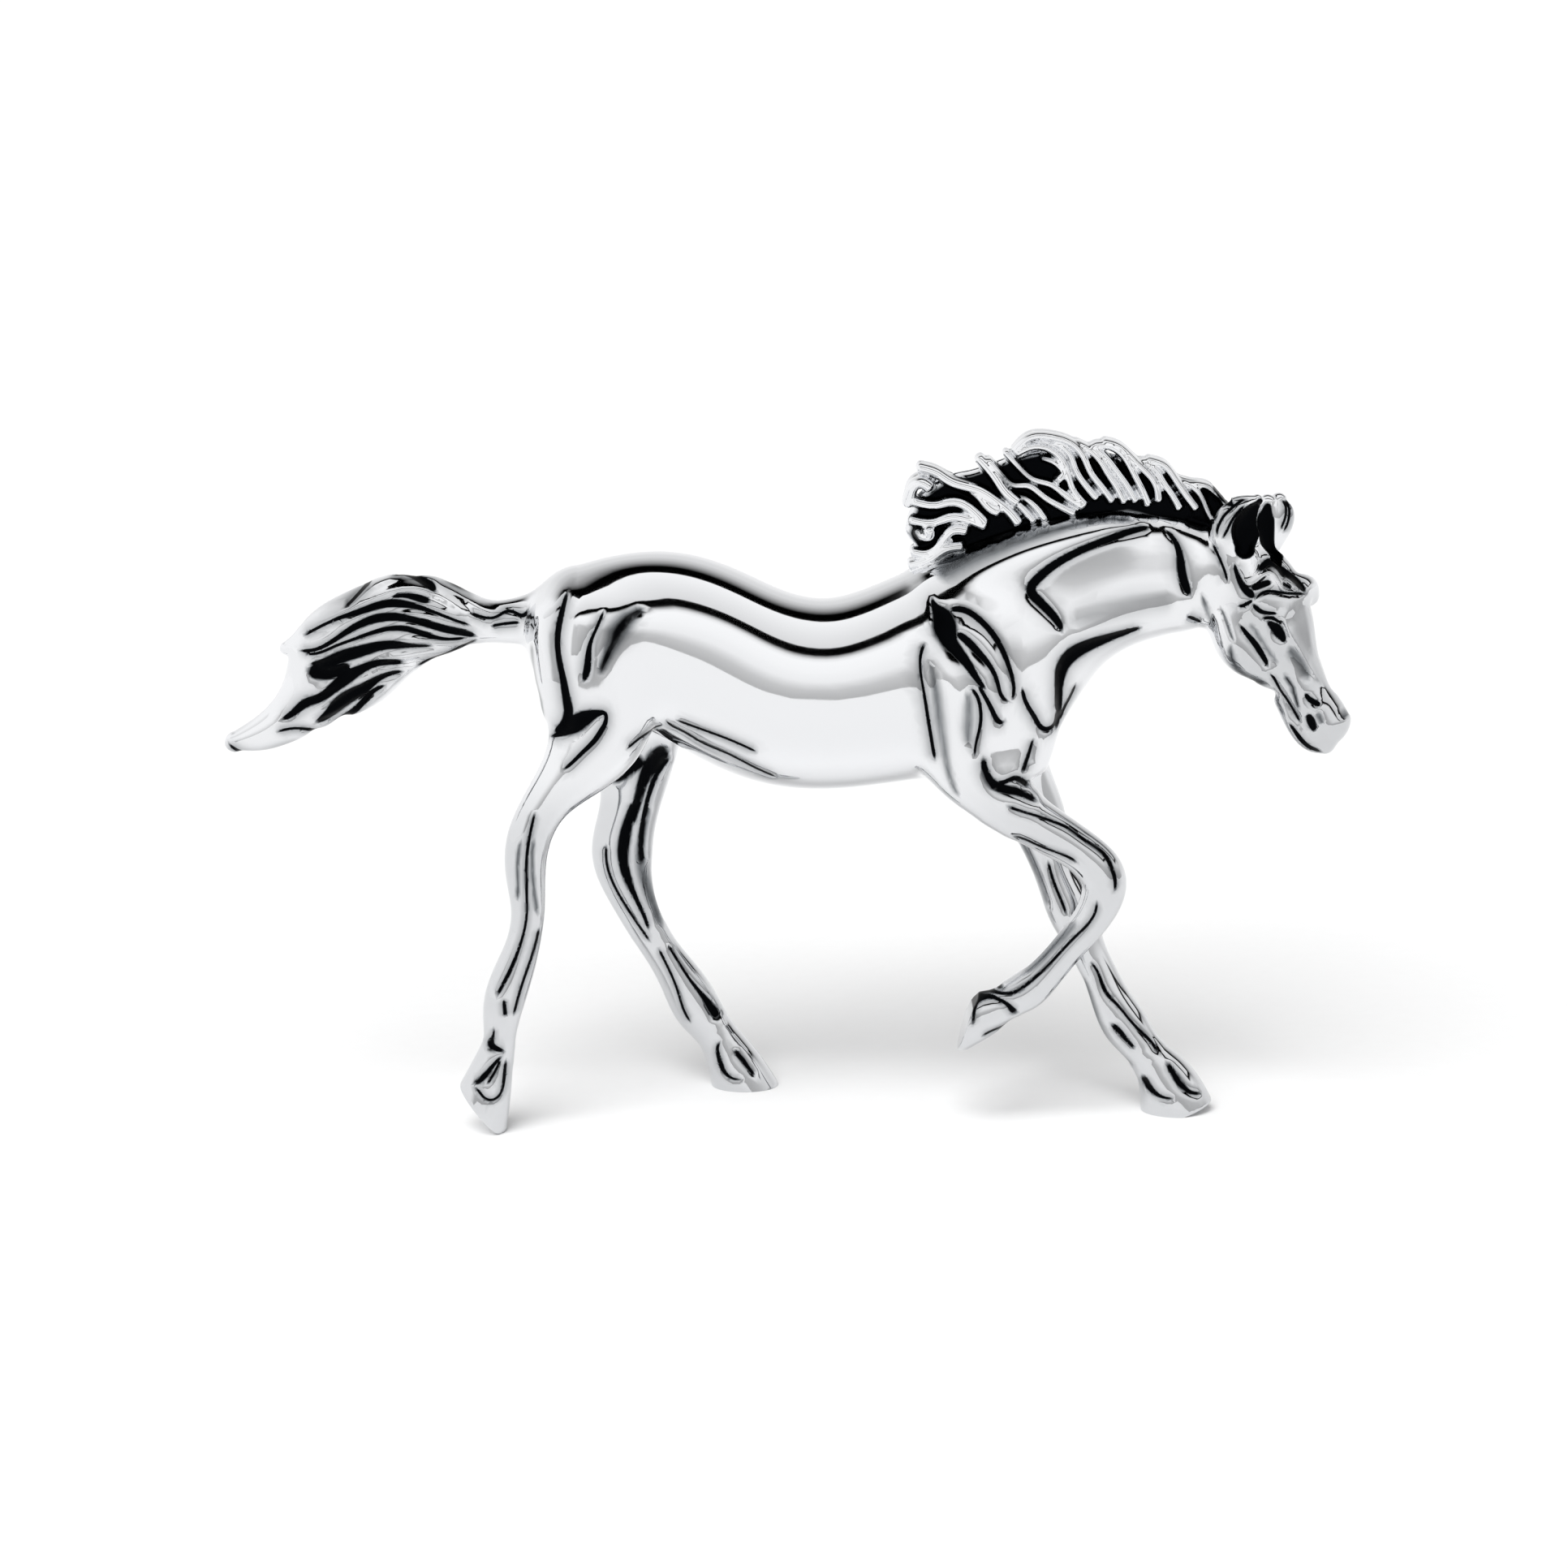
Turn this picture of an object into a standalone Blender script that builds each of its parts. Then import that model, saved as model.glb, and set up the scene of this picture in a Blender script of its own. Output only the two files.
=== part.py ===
"""A walking foal cast in silver, in one piece, standing on three hooves.

The foal faces +X and lifts its right forefoot; its right side faces -Y.
Its form is a smooth blend of oval tubes, swept along curves through stations
placed by hand, with lines carved into it. A station's numbers are shares of
the foal's length, in 120ths. The blend is sampled on a grid, skinned with
faces, cut level under the hooves and brought down to few triangles.
"""

import bmesh
import bpy
import numpy as np

# Driving size, in metres: from the tip of the tail to the muzzle.
LENGTH = 0.120

# How the form is sampled, in the stations' unit, which is a 120th of the length.
GRID = 0.55
BAND = 4 * GRID
ROOM_LOW = np.array([-63.0, -14.0, -3.0])
ROOM_HIGH = np.array([63.0, 13.0, 77.0])
FAR_AWAY = 6.0
SIDEWAYS = (0, 1, 0)

# The finish, and how many triangles the solid keeps.
SILVER = (0.86, 0.86, 0.87, 1.0)
POLISH = 0.14
TRIANGLES = 9600


def cubic(stations):
    """A natural cubic curve through the rows, measured by its running length."""
    rows = np.array(stations, float)
    steps = np.linalg.norm(np.diff(rows[:, :3], axis=0), axis=1)
    knots = np.concatenate([[0.0], np.cumsum(steps)])
    system = np.eye(len(rows))
    bends = np.zeros_like(rows)
    for i in range(1, len(rows) - 1):
        before, after = steps[i - 1], steps[i]
        system[i, i - 1:i + 2] = before, 2 * (before + after), after
        bends[i] = 6 * ((rows[i + 1] - rows[i]) / after - (rows[i] - rows[i - 1]) / before)
    return knots, rows, np.linalg.solve(system, bends), steps


def along(curve, place):
    """The curve's row, slope and bend at each place."""
    knots, rows, bends, steps = curve
    span = np.clip(np.searchsorted(knots, place, side="right") - 1, 0, len(steps) - 1)
    step = steps[span][:, None]
    back = (knots[span + 1] - place)[:, None] / step
    ahead = 1 - back
    start, end = rows[span], rows[span + 1]
    bend_start, bend_end = bends[span], bends[span + 1]
    row = back * start + ahead * end
    row += ((back ** 3 - back) * bend_start + (ahead ** 3 - ahead) * bend_end) * step ** 2 / 6
    slope = (end - start) / step
    slope += ((3 * ahead ** 2 - 1) * bend_end - (3 * back ** 2 - 1) * bend_start) * step / 6
    return row, slope, back * bend_start + ahead * bend_end


def unit(vectors):
    return vectors / np.maximum(np.linalg.norm(vectors, axis=-1, keepdims=True), 1e-9)


def nearest(curve, places, marks, points):
    """The place on the curve that is nearest to each point."""
    spread = (marks ** 2).sum(1) - 2 * points @ marks.T
    place = places[spread.argmin(1)]
    limit = places[1]
    for _ in range(3):
        row, slope, bend = along(curve, place)
        gap = points - row[:, :3]
        pull = (gap * slope[:, :3]).sum(1)
        rate = (slope[:, :3] ** 2).sum(1) - (gap * bend[:, :3]).sum(1)
        move = np.clip(pull / np.maximum(rate, 0.2), -limit, limit)
        place = np.clip(place + move, 0, places[-1])
    return place


def ease(value):
    """Rises smoothly from 0 to 1 as the value does."""
    value = np.clip(value, 0, 1)
    return value * value * (3 - 2 * value)


class Tube:
    """An oval tube along a curve. A station is x, y, z, half depth, half width."""

    def __init__(self, stations, blend=1.0, cap=None, cuts=(), side=SIDEWAYS, hollow=False):
        self.curve = cubic(stations)
        self.length = self.curve[0][-1]
        self.blend = blend
        self.cap = cap
        self.cuts = cuts
        self.side = unit(np.array(side, float))
        self.hollow = hollow
        self.places = np.linspace(0, self.length, max(8, int(self.length / 0.8)))
        self.marks = along(self.curve, self.places)[0]
        reach = self.marks[:, 3:5].max() + blend + BAND
        self.low = self.marks[:, :3].min(0) - reach
        self.high = self.marks[:, :3].max(0) + reach

    def distance(self, points):
        place = nearest(self.curve, self.places, self.marks[:, :3], points)
        row, slope, _ = along(self.curve, place)
        gap = points - row[:, :3]
        ahead = unit(slope[:, :3])
        side = unit(self.side - (ahead @ self.side)[:, None] * ahead)
        up = np.cross(ahead, side)
        local = np.stack([(gap * up).sum(1), (gap * side).sum(1), (gap * ahead).sum(1)], 1)
        radii = np.maximum(row[:, [3, 4, 4]], 0.05)
        radii[:, 2] = self.cap if self.cap else radii[:, :2].min(1)
        inner = np.linalg.norm(local / radii, axis=1)
        outer = np.linalg.norm(local / radii ** 2, axis=1)
        value = inner * (inner - 1) / np.maximum(outer, 1e-6)
        value = np.where(inner < 0.05, -radii.min(1), value)
        for place, facing in self.cuts:
            plane = (points - np.array(place)) @ unit(np.array(facing, float))
            value = join(value, plane, -0.5)
        return value


class Stroke:
    """A carved line, drawn in the side view. It raises the surface by its height or cuts it."""

    def __init__(self, spots, width, height, side=0):
        self.curve = cubic([(x, 0, z) for x, z in spots])
        self.length = self.curve[0][-1]
        self.width = width
        self.height = height
        self.side = side
        self.places = np.linspace(0, self.length, max(6, int(self.length / 0.5)))
        self.marks = along(self.curve, self.places)[0]
        reach = np.array([3 * width, 99.0, 3 * width])
        self.low = self.marks.min(0) - reach
        self.high = self.marks.max(0) + reach
        if side < 0:
            self.high[1] = 0.5
        if side > 0:
            self.low[1] = -0.5

    def change(self, points):
        flat = points * np.array([1.0, 0, 1.0])
        place = nearest(self.curve, self.places, self.marks, flat)
        gap = np.linalg.norm(flat - along(self.curve, place)[0], axis=1)
        end = np.minimum(place, self.length - place) / (0.2 * self.length)
        strength = 0.25 + 0.75 * ease(end)
        turn = ease(0.5 + self.side * points[:, 1]) if self.side else 1.0
        return -self.height * strength * turn * np.exp(-(gap / self.width) ** 2)


def join(first, second, blend):
    """The smooth union of two fields, or with a negative blend their smooth overlap."""
    sign = 1 if blend > 0 else -1
    width = abs(blend)
    first, second = sign * first, sign * second
    meet = np.maximum(width - np.abs(first - second), 0) / width
    return sign * (np.minimum(first, second) - meet ** 3 * width / 6)


def trunk():
    return [
        Tube([(-21.2, 0, 52.4, 7.4, 6.6), (-12.3, 0, 51.9, 9.3, 8.2), (-5.7, 0, 48.7, 9.9, 8.6),
              (0.5, 0, 46.3, 10.2, 8.9), (7.0, 0, 46.2, 10.2, 9.0), (14.0, 0, 47.7, 10.9, 8.8),
              (20.0, 0, 48.6, 11.0, 8.2), (24.5, 0, 48.4, 8.8, 6.8)], cap=6.0),
        Tube([(20.5, 0, 50.0, 9.5, 6.8), (26.0, 0, 54.5, 9.2, 5.9), (30.7, 0, 57.2, 8.0, 5.0),
              (36.2, 0, 58.9, 6.9, 4.3), (41.1, -0.2, 59.3, 6.1, 3.9), (45.0, -0.7, 58.6, 5.2, 3.6)],
             blend=5.0, cap=3.0),
    ]


def head():
    turned = (0.42, 0.91, 0)
    return [
        Tube([(46.6, -0.9, 60.6, 4.4, 3.2), (49.3, -1.9, 56.9, 5.2, 3.7), (51.5, -3.0, 53.2, 4.4, 3.4),
              (53.4, -4.1, 49.3, 3.0, 2.6), (55.2, -5.1, 46.2, 2.5, 2.3), (56.7, -5.8, 43.9, 2.4, 2.3)],
             blend=2.5, cap=2.2, side=turned),
        Tube([(47.2, -2.2, 54.6, 2.8, 3.0), (48.4, -3.0, 51.6, 2.7, 3.1), (50.4, -3.9, 49.6, 1.8, 2.3)],
             blend=1.6, cap=2.2, side=turned),
        Tube([(54.4, -5.0, 44.4, 1.2, 1.5), (56.2, -5.9, 42.6, 1.6, 1.7)], blend=1.0, cap=1.4, side=turned),
        Tube([(56.6, -5.6, 45.9, 1.5, 2.3), (57.6, -6.0, 44.4, 1.6, 2.3)], blend=1.2, cap=1.4, side=turned),
        Tube([(52.2, -4.7, 56.9, 1.2, 1.2), (54.3, -2.9, 57.9, 1.5, 1.4), (55.0, -1.4, 56.9, 1.2, 1.2)],
             blend=1.2),
        Tube([(50.7, -7.1, 54.5, 0.8, 1.0), (51.9, -7.3, 53.4, 0.8, 1.0)], blend=0.6, hollow=True),
        Tube([(55.5, -8.2, 45.3, 0.7, 1.0), (55.9, -8.4, 44.3, 0.7, 1.0)], blend=0.6, hollow=True),
    ]


def legs():
    return [
        Tube([(-18.6, -3.8, 53.8, 7.2, 4.4), (-19.4, -4.9, 47.5, 6.4, 4.2), (-19.9, -5.6, 42.9, 5.4, 3.7),
              (-22.0, -6.3, 39.3, 3.7, 2.9), (-24.9, -6.8, 35.8, 2.5, 2.3), (-26.9, -7.2, 31.6, 2.3, 2.1),
              (-27.2, -7.4, 28.0, 2.1, 1.9), (-27.0, -7.6, 24.4, 1.8, 1.6), (-27.5, -7.8, 20.9, 1.8, 1.6),
              (-28.7, -7.9, 17.3, 2.1, 1.8), (-29.8, -8.0, 13.7, 2.1, 1.9), (-30.2, -8.0, 10.4, 1.7, 1.6),
              (-30.5, -8.0, 8.0, 1.7, 1.7)], blend=3.0),
        Tube([(-16.5, 3.8, 50.0, 7.0, 4.2), (-15.9, 4.9, 42.5, 5.4, 3.8), (-16.1, 5.6, 36.5, 4.0, 3.2),
              (-16.9, 6.1, 31.3, 3.2, 2.6), (-17.6, 6.6, 26.6, 3.3, 2.3), (-16.7, 6.9, 22.2, 2.6, 2.0),
              (-15.0, 7.1, 18.2, 2.1, 1.7), (-13.2, 7.3, 15.1, 2.0, 1.7), (-11.2, 7.4, 11.9, 2.4, 1.9),
              (-9.4, 7.5, 8.6, 2.6, 2.1), (-7.6, 7.5, 6.0, 2.2, 1.9), (-6.5, 7.5, 4.2, 2.2, 1.9)], blend=3.0),
        Tube([(18.5, -4.6, 47.0, 6.5, 3.8), (18.9, -5.8, 41.0, 4.8, 3.3), (21.5, -6.3, 37.3, 3.5, 2.9),
              (24.6, -6.5, 34.8, 2.9, 2.5), (28.1, -6.6, 32.5, 2.5, 2.3), (31.5, -6.7, 30.3, 2.3, 2.1),
              (33.7, -6.7, 27.4, 2.4, 2.2), (33.1, -6.7, 24.2, 2.1, 1.9), (30.3, -6.6, 20.2, 1.8, 1.6),
              (27.7, -6.5, 17.0, 1.9, 1.6), (25.3, -6.4, 14.8, 2.1, 1.9), (23.4, -6.3, 13.9, 1.9, 1.8),
              (22.4, -6.3, 13.4, 1.9, 1.8)], blend=3.0),
        Tube([(23.0, 4.2, 44.0, 6.0, 3.4), (25.6, 4.9, 36.5, 4.4, 3.0), (27.6, 4.8, 31.0, 3.4, 2.6),
              (29.4, 3.8, 25.4, 2.4, 2.2), (31.2, 2.7, 21.2, 2.6, 2.2), (32.7, 1.8, 17.6, 2.0, 1.8),
              (34.0, 1.1, 14.9, 1.9, 1.6), (35.3, 0.5, 12.0, 2.2, 1.8), (36.9, 0, 9.2, 2.5, 2.0),
              (38.5, -0.5, 7.1, 2.2, 1.9), (40.0, -0.8, 5.2, 2.2, 1.9)], blend=3.0),
    ]


def hooves():
    return [
        Tube([(-30.4, -8.0, 9.4, 1.7, 1.6), (-31.4, -8.0, 5.8, 2.5, 2.2), (-32.8, -8.0, 1.4, 3.4, 2.7)],
             blend=0.6, cuts=[((-34.6, -8.0, 5.0), (-0.784, 0, -0.621))]),
        Tube([(-7.2, 7.5, 5.6, 2.1, 1.9), (-5.6, 7.5, 2.6, 2.9, 2.5), (-4.2, 7.5, -0.9, 3.7, 2.9)],
             blend=0.6, cuts=[((-4.0, 7.5, -0.8), (0, 0, -1))]),
        Tube([(24.0, -6.3, 13.7, 1.7, 1.7), (21.6, -6.3, 12.8, 2.6, 2.2), (18.6, -6.3, 11.9, 3.5, 2.7)],
             blend=0.6, cuts=[((19.6, -6.3, 12.6), (-0.96, 0, 0.28))]),
        Tube([(39.6, -0.8, 5.9, 2.1, 1.9), (41.3, -0.9, 3.4, 3.1, 2.6), (42.8, -1.0, -0.6, 4.1, 3.1)],
             blend=0.6, cuts=[((42.8, -1.0, -0.8), (0, 0, -1)), ((43.4, -1.0, 0), (0.34, 0, -0.94))]),
    ]


def tail():
    return [
        Tube([(-24.0, 0, 54.5, 3.2, 2.6), (-27.5, 0, 53.9, 2.6, 2.1), (-31.3, 0, 53.8, 2.3, 2.0),
              (-35.4, 0, 54.2, 3.5, 2.5), (-39.3, 0, 54.0, 4.6, 3.0), (-43.6, 0, 52.0, 5.6, 3.2),
              (-47.3, 0, 49.0, 5.6, 2.9), (-50.3, 0, 45.6, 3.4, 2.3), (-54.2, 0, 42.2, 2.2, 1.8),
              (-58.0, 0, 40.8, 1.2, 1.2)], blend=1.5, cap=1.5),
        Tube([(-45.0, 0, 53.8, 2.6, 2.4), (-49.2, 0, 52.1, 1.8, 1.8), (-52.6, 0, 50.9, 0.7, 0.8)], blend=1.0),
    ]


def mane():
    """A thin crest, and on both its sides the locks that sweep up and back from it."""
    crest = [(14.8, 0, 62.6, 2.4, 1.3), (17.0, 0, 65.0, 3.8, 1.7), (20.4, 0, 66.0, 4.0, 1.9),
             (25.1, 0, 67.7, 4.0, 2.0), (28.6, 0, 68.4, 3.9, 2.0), (34.2, 0, 68.2, 3.3, 1.9),
             (40.3, -0.1, 67.0, 2.4, 1.8), (45.5, -0.4, 65.2, 1.9, 1.7)]
    locks = [
        [(24.4, 64.7), (22.4, 66.7), (20.4, 68.0), (17.2, 69.0), (14.4, 70.2)],
        [(21.4, 64.8), (18.7, 66.5), (16.4, 66.6), (13.4, 67.0)],
        [(20.4, 63.6), (18.4, 64.2), (16.2, 63.6), (13.8, 63.9)],
        [(17.4, 62.6), (15.2, 61.2), (13.4, 60.3)],
        [(26.4, 66.4), (24.0, 67.6), (22.2, 69.4), (20.4, 70.9)],
        [(30.0, 66.0), (26.9, 67.8), (24.9, 69.4), (23.0, 71.5)],
        [(31.8, 66.7), (30.0, 68.6), (28.4, 70.6), (26.2, 71.6), (24.4, 71.6)],
        [(34.1, 67.0), (32.2, 69.6), (30.6, 71.8), (28.4, 73.3), (25.6, 73.2)],
        [(36.4, 67.0), (34.8, 69.4), (33.0, 71.6), (31.0, 72.5)],
        [(38.8, 67.0), (37.6, 69.6), (35.8, 71.6), (33.4, 72.5)],
        [(41.6, 66.4), (40.2, 68.8), (37.8, 70.6)],
        [(44.6, 65.0), (43.2, 67.2), (40.8, 68.6)],
        [(47.2, 64.0), (46.2, 66.2), (44.6, 67.6), (42.8, 68.3)],
    ]
    pieces = [Tube(crest, blend=0.8, cap=1.0)]
    for spots in locks:
        pieces += [lock(spots, side) for side in (-1, 1)]
    return pieces


def lock(spots, side):
    """A fin of hair on one side of the crest, thinner and nearer the middle toward its tip."""
    stations = []
    for i, (x, z) in enumerate(spots):
        share = i / (len(spots) - 1)
        stations.append((x, side * (1.3 - 0.6 * share), z, 0.72 - 0.12 * share, 1.5 - 0.5 * share))
    return Tube(stations, blend=0.7, cap=0.6)


def ears():
    return [
        Tube([(46.6, -2.4, 61.4, 1.8, 1.3), (46.7, -3.2, 64.2, 2.1, 1.4), (48.6, -3.2, 67.3, 0.6, 0.6)],
             blend=0.8),
        Tube([(50.3, 0.6, 61.0, 1.4, 1.2), (51.9, 0.6, 64.6, 1.6, 1.3), (51.4, 0.4, 67.2, 0.7, 0.6)],
             blend=0.8),
        Tube([(48.2, -4.5, 61.8, 1.0, 1.2), (48.2, -4.9, 64.4, 1.1, 1.3), (48.9, -4.0, 66.6, 0.5, 0.6)],
             blend=0.4, hollow=True),
        Tube([(50.6, -1.1, 62.4, 0.8, 0.9), (51.2, -1.2, 64.6, 0.9, 1.0), (51.2, -0.7, 66.4, 0.4, 0.5)],
             blend=0.4, hollow=True),
    ]


def tail_locks():
    """Wavy ridges of hair that follow the tail on both its sides."""
    ridges = [
        [(-30.4, 54.8), (-33.3, 56.0), (-36.4, 57.6), (-38.9, 58.2), (-41.3, 57.8), (-45.3, 55.6), (-50.0, 52.6)],
        [(-31.9, 53.2), (-36.5, 55.2), (-39.0, 55.8), (-41.4, 55.4), (-45.9, 53.0), (-52.0, 51.0)],
        [(-32.9, 52.2), (-37.8, 53.1), (-40.2, 53.1), (-42.4, 52.6), (-46.4, 50.7), (-50.0, 49.9)],
        [(-34.0, 51.2), (-39.1, 50.6), (-43.0, 49.9), (-46.5, 47.9), (-50.5, 45.5), (-55.5, 43.0)],
        [(-37.0, 50.0), (-41.6, 47.9), (-45.3, 45.9), (-49.1, 43.6), (-55.3, 41.9)],
        [(-39.0, 48.7), (-43.0, 45.6), (-46.4, 43.2), (-50.9, 41.4), (-56.1, 40.4)],
    ]
    return [Stroke(spots, width=0.8, height=0.7) for spots in ridges]


def muscles():
    """Lobes and the grooves between them, from the withers to the hocks, on both sides."""
    return [
        Stroke([(38.6, 64.5), (31.2, 62.3), (27.9, 60.6), (25.6, 58.2), (28.4, 55.0), (28.9, 53.4)], 0.8, -0.6),
        Stroke([(39.2, 64.5), (41.3, 61.2), (42.3, 57.3)], 0.8, -0.5),
        Stroke([(15.5, 57.6), (16.5, 54.9), (17.9, 52.7), (19.9, 49.7), (21.6, 47.7)], 0.9, -0.9),
        Stroke([(17.6, 56.4), (19.9, 55.9), (21.6, 54.2), (23.0, 51.5), (23.9, 47.9)], 0.8, -0.6),
        Stroke([(18.6, 54.4), (20.4, 52.6), (22.2, 49.4)], 0.9, 0.5),
        Stroke([(24.9, 48.7), (26.3, 44.7), (27.8, 43.5), (28.6, 44.8), (28.8, 50.4), (30.4, 52.0)], 0.8, -0.6),
        Stroke([(-22.6, 58.0), (-23.5, 53.8), (-22.8, 48.5), (-22.2, 45.0)], 0.8, -0.8),
        Stroke([(-24.6, 43.2), (-21.5, 44.9), (-19.2, 46.1), (-19.4, 44.0), (-22.0, 41.0)], 0.8, -0.7),
        Stroke([(-18.5, 56.8), (-19.9, 53.8), (-20.8, 49.4)], 0.8, -0.6),
        Stroke([(-15.0, 56.4), (-17.5, 54.2), (-19.2, 49.9)], 1.0, -0.7),
    ]


def leg_carving():
    """Cords of the legs. A side of -1 keeps a stroke on the right of the foal, and 1 on its left."""
    return [
        Stroke([(14.6, 53.0), (14.2, 49.5), (15.0, 45.0), (15.9, 38.8)], 0.8, -0.6, -1),
        Stroke([(16.3, 52.0), (18.1, 46.0), (18.3, 40.8), (19.8, 36.8), (23.4, 34.0)], 1.3, 0.6, -1),
        Stroke([(19.3, 48.5), (20.3, 44.8), (20.2, 40.0), (22.2, 36.6)], 0.8, -0.6, -1),
        Stroke([(23.2, 39.2), (25.6, 37.6), (28.0, 35.4)], 0.8, -0.6, -1),
        Stroke([(24.9, 35.2), (29.7, 33.0), (33.2, 30.5), (34.6, 28.0)], 0.6, -0.4, -1),
        Stroke([(32.4, 24.0), (29.0, 19.7), (25.5, 16.3)], 0.6, -0.4, -1),
        Stroke([(-26.1, 35.4), (-26.9, 29.8), (-27.1, 24.3), (-28.5, 19.0), (-30.0, 15.3)], 0.6, -0.5, -1),
        Stroke([(-31.5, 10.6), (-30.5, 9.3), (-29.2, 9.2)], 0.5, -0.4, -1),
        Stroke([(-15.9, 33.6), (-17.6, 28.0), (-17.2, 24.3), (-12.9, 14.9), (-10.2, 11.3)], 0.7, -0.5, 1),
        Stroke([(28.2, 28.4), (30.1, 22.4)], 0.6, -0.4, 1),
        Stroke([(33.7, 15.3), (36.0, 11.8), (39.9, 7.5)], 0.6, -0.4),
    ]


def face():
    """Brow, cheek and jaw lines, and the fold of the forelock."""
    return [
        Stroke([(48.0, 56.5), (49.9, 57.5), (52.6, 57.5)], 0.6, -0.4, -1),
        Stroke([(47.9, 53.2), (50.2, 50.6), (49.3, 48.5), (47.2, 50.1)], 0.6, -0.4, -1),
        Stroke([(50.8, 49.1), (53.1, 45.9), (54.8, 43.2)], 0.6, -0.3, -1),
        Stroke([(44.4, 63.3), (46.0, 59.6), (47.7, 56.0)], 0.7, -0.4, -1),
        Stroke([(47.4, 60.4), (48.8, 59.4), (50.4, 60.0), (54.0, 58.0)], 0.8, 0.5),
    ]


def foal():
    """The foal's pieces in the order that they join, then the lines carved into them."""
    pieces = trunk() + head() + legs() + hooves() + tail() + mane() + ears()
    strokes = muscles() + leg_carving() + tail_locks() + face()
    return pieces, strokes


def within(item, points):
    return np.flatnonzero(((points > item.low) & (points < item.high)).all(1))


def field(form, points):
    """How far each point is outside the foal, less than zero within it."""
    pieces, strokes = form
    value = np.full(len(points), FAR_AWAY)
    for piece in pieces:
        near = within(piece, points)
        if len(near) == 0:
            continue
        own = piece.distance(points[near])
        if piece.hollow:
            value[near] = join(value[near], -own, -piece.blend)
        else:
            value[near] = join(value[near], own, piece.blend)
    skin = np.flatnonzero(np.abs(value) < BAND)
    for stroke in strokes:
        near = skin[within(stroke, points[skin])]
        if len(near) == 0:
            continue
        value[near] += stroke.change(points[near])
    return value


def sample(form, low, high, spacing):
    """The field on a grid: exact near the surface, found by halving a coarse grid."""
    levels = 2
    step = spacing * 2 ** levels
    size = np.ceil((high - low) / step).astype(int) + 1
    axes = [low[i] + step * np.arange(size[i]) for i in range(3)]
    points = np.stack(np.meshgrid(*axes, indexing="ij"), -1).reshape(-1, 3)
    values = field(form, points).reshape(size)
    for _ in range(levels):
        values = halve(values)
        step /= 2
        near = np.argwhere(np.abs(values) < 2.2 * step + 0.2)
        values[tuple(near.T)] = field(form, low + near * step)
    return values, step


def halve(values):
    """The same grid with a new point between each two."""
    for axis in range(3):
        values = np.moveaxis(values, axis, 0)
        finer = np.empty((2 * values.shape[0] - 1,) + values.shape[1:], values.dtype)
        finer[::2] = values
        finer[1::2] = (values[:-1] + values[1:]) / 2
        values = np.moveaxis(finer, 0, axis)
    return values


def clear_up(values):
    """Fills the corners where two parts of the foal would touch only along an edge or at a corner."""
    filled = -0.02
    for _ in range(40):
        inside = values < 0
        spots = []
        for axis in range(3):
            grid = np.moveaxis(inside, axis, 0)
            first, second = grid[:, :-1, :-1], grid[:, 1:, :-1]
            third, fourth = grid[:, 1:, 1:], grid[:, :-1, 1:]
            doubtful = np.argwhere((first == third) & (second == fourth) & (first != second))
            for one, two in ((0, 0), (1, 0), (1, 1), (0, 1)):
                spots.append(np.insert(doubtful[:, 1:] + (one, two), axis, doubtful[:, 0], axis=1))
        spots = np.concatenate(spots + [opposite_corners(inside)])
        if len(spots) == 0:
            return values
        at_spots = values[tuple(spots.T)]
        outside = spots[(at_spots >= 0)]
        values[tuple(outside.T)] = filled
    return values


def opposite_corners(inside):
    """Grid points of the cells that hold only two opposite corners, or all but two."""
    cells = [slice(None, -1), slice(1, None)]
    corners = [(a, b, c) for a in (0, 1) for b in (0, 1) for c in (0, 1)]
    held = [inside[cells[a], cells[b], cells[c]] for a, b, c in corners]
    count = sum(one.astype(np.int8) for one in held)
    spots = [np.zeros((0, 3), int)]
    for i in range(4):
        lone = (held[i] & held[7 - i] & (count == 2)) | (~held[i] & ~held[7 - i] & (count == 6))
        found = np.argwhere(lone)
        spots += [found + corner for corner in corners]
    return np.concatenate(spots)


def skin(values, low, step):
    """Corners and four-sided faces of the surface where the sampled field is zero."""
    inside = values < 0
    cells = [slice(None, -1), slice(1, None)]
    corners = [(a, b, c) for a in (0, 1) for b in (0, 1) for c in (0, 1)]
    count = sum(inside[cells[a], cells[b], cells[c]].astype(np.int8) for a, b, c in corners)
    active = np.argwhere((count > 0) & (count < 8))
    number = np.full(count.shape, -1, np.int64)
    number[tuple(active.T)] = np.arange(len(active))
    total = np.zeros((len(active), 3))
    crossings = np.zeros(len(active))
    for corner in corners:
        for axis in range(3):
            if corner[axis] == 1:
                continue
            other = np.array(corner)
            other[axis] = 1
            start = values[tuple((active + corner).T)]
            end = values[tuple((active + other).T)]
            crossed = (start < 0) != (end < 0)
            share = np.where(crossed, start / np.where(crossed, start - end, 1), 0)
            spot = np.array(corner, float) + share[:, None] * np.eye(3)[axis]
            total += spot * crossed[:, None]
            crossings += crossed
    points = low + (active + total / crossings[:, None]) * step
    faces = []
    for axis in range(3):
        one, two = (axis + 1) % 3, (axis + 2) % 3
        start = np.moveaxis(inside, axis, 0)[:-1]
        end = np.moveaxis(inside, axis, 0)[1:]
        edges = np.argwhere(np.moveaxis(start != end, 0, axis))
        edges = edges[(edges[:, one] > 0) & (edges[:, two] > 0)]
        first = np.eye(3, dtype=int)[one]
        second = np.eye(3, dtype=int)[two]
        ring = [edges - first - second, edges - second, edges, edges - first]
        quads = np.stack([number[tuple(spot.T)] for spot in ring], 1)
        flip = ~inside[tuple(edges.T)]
        quads[flip] = quads[flip][:, ::-1]
        faces.append(quads)
    return points, np.concatenate(faces)


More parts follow.
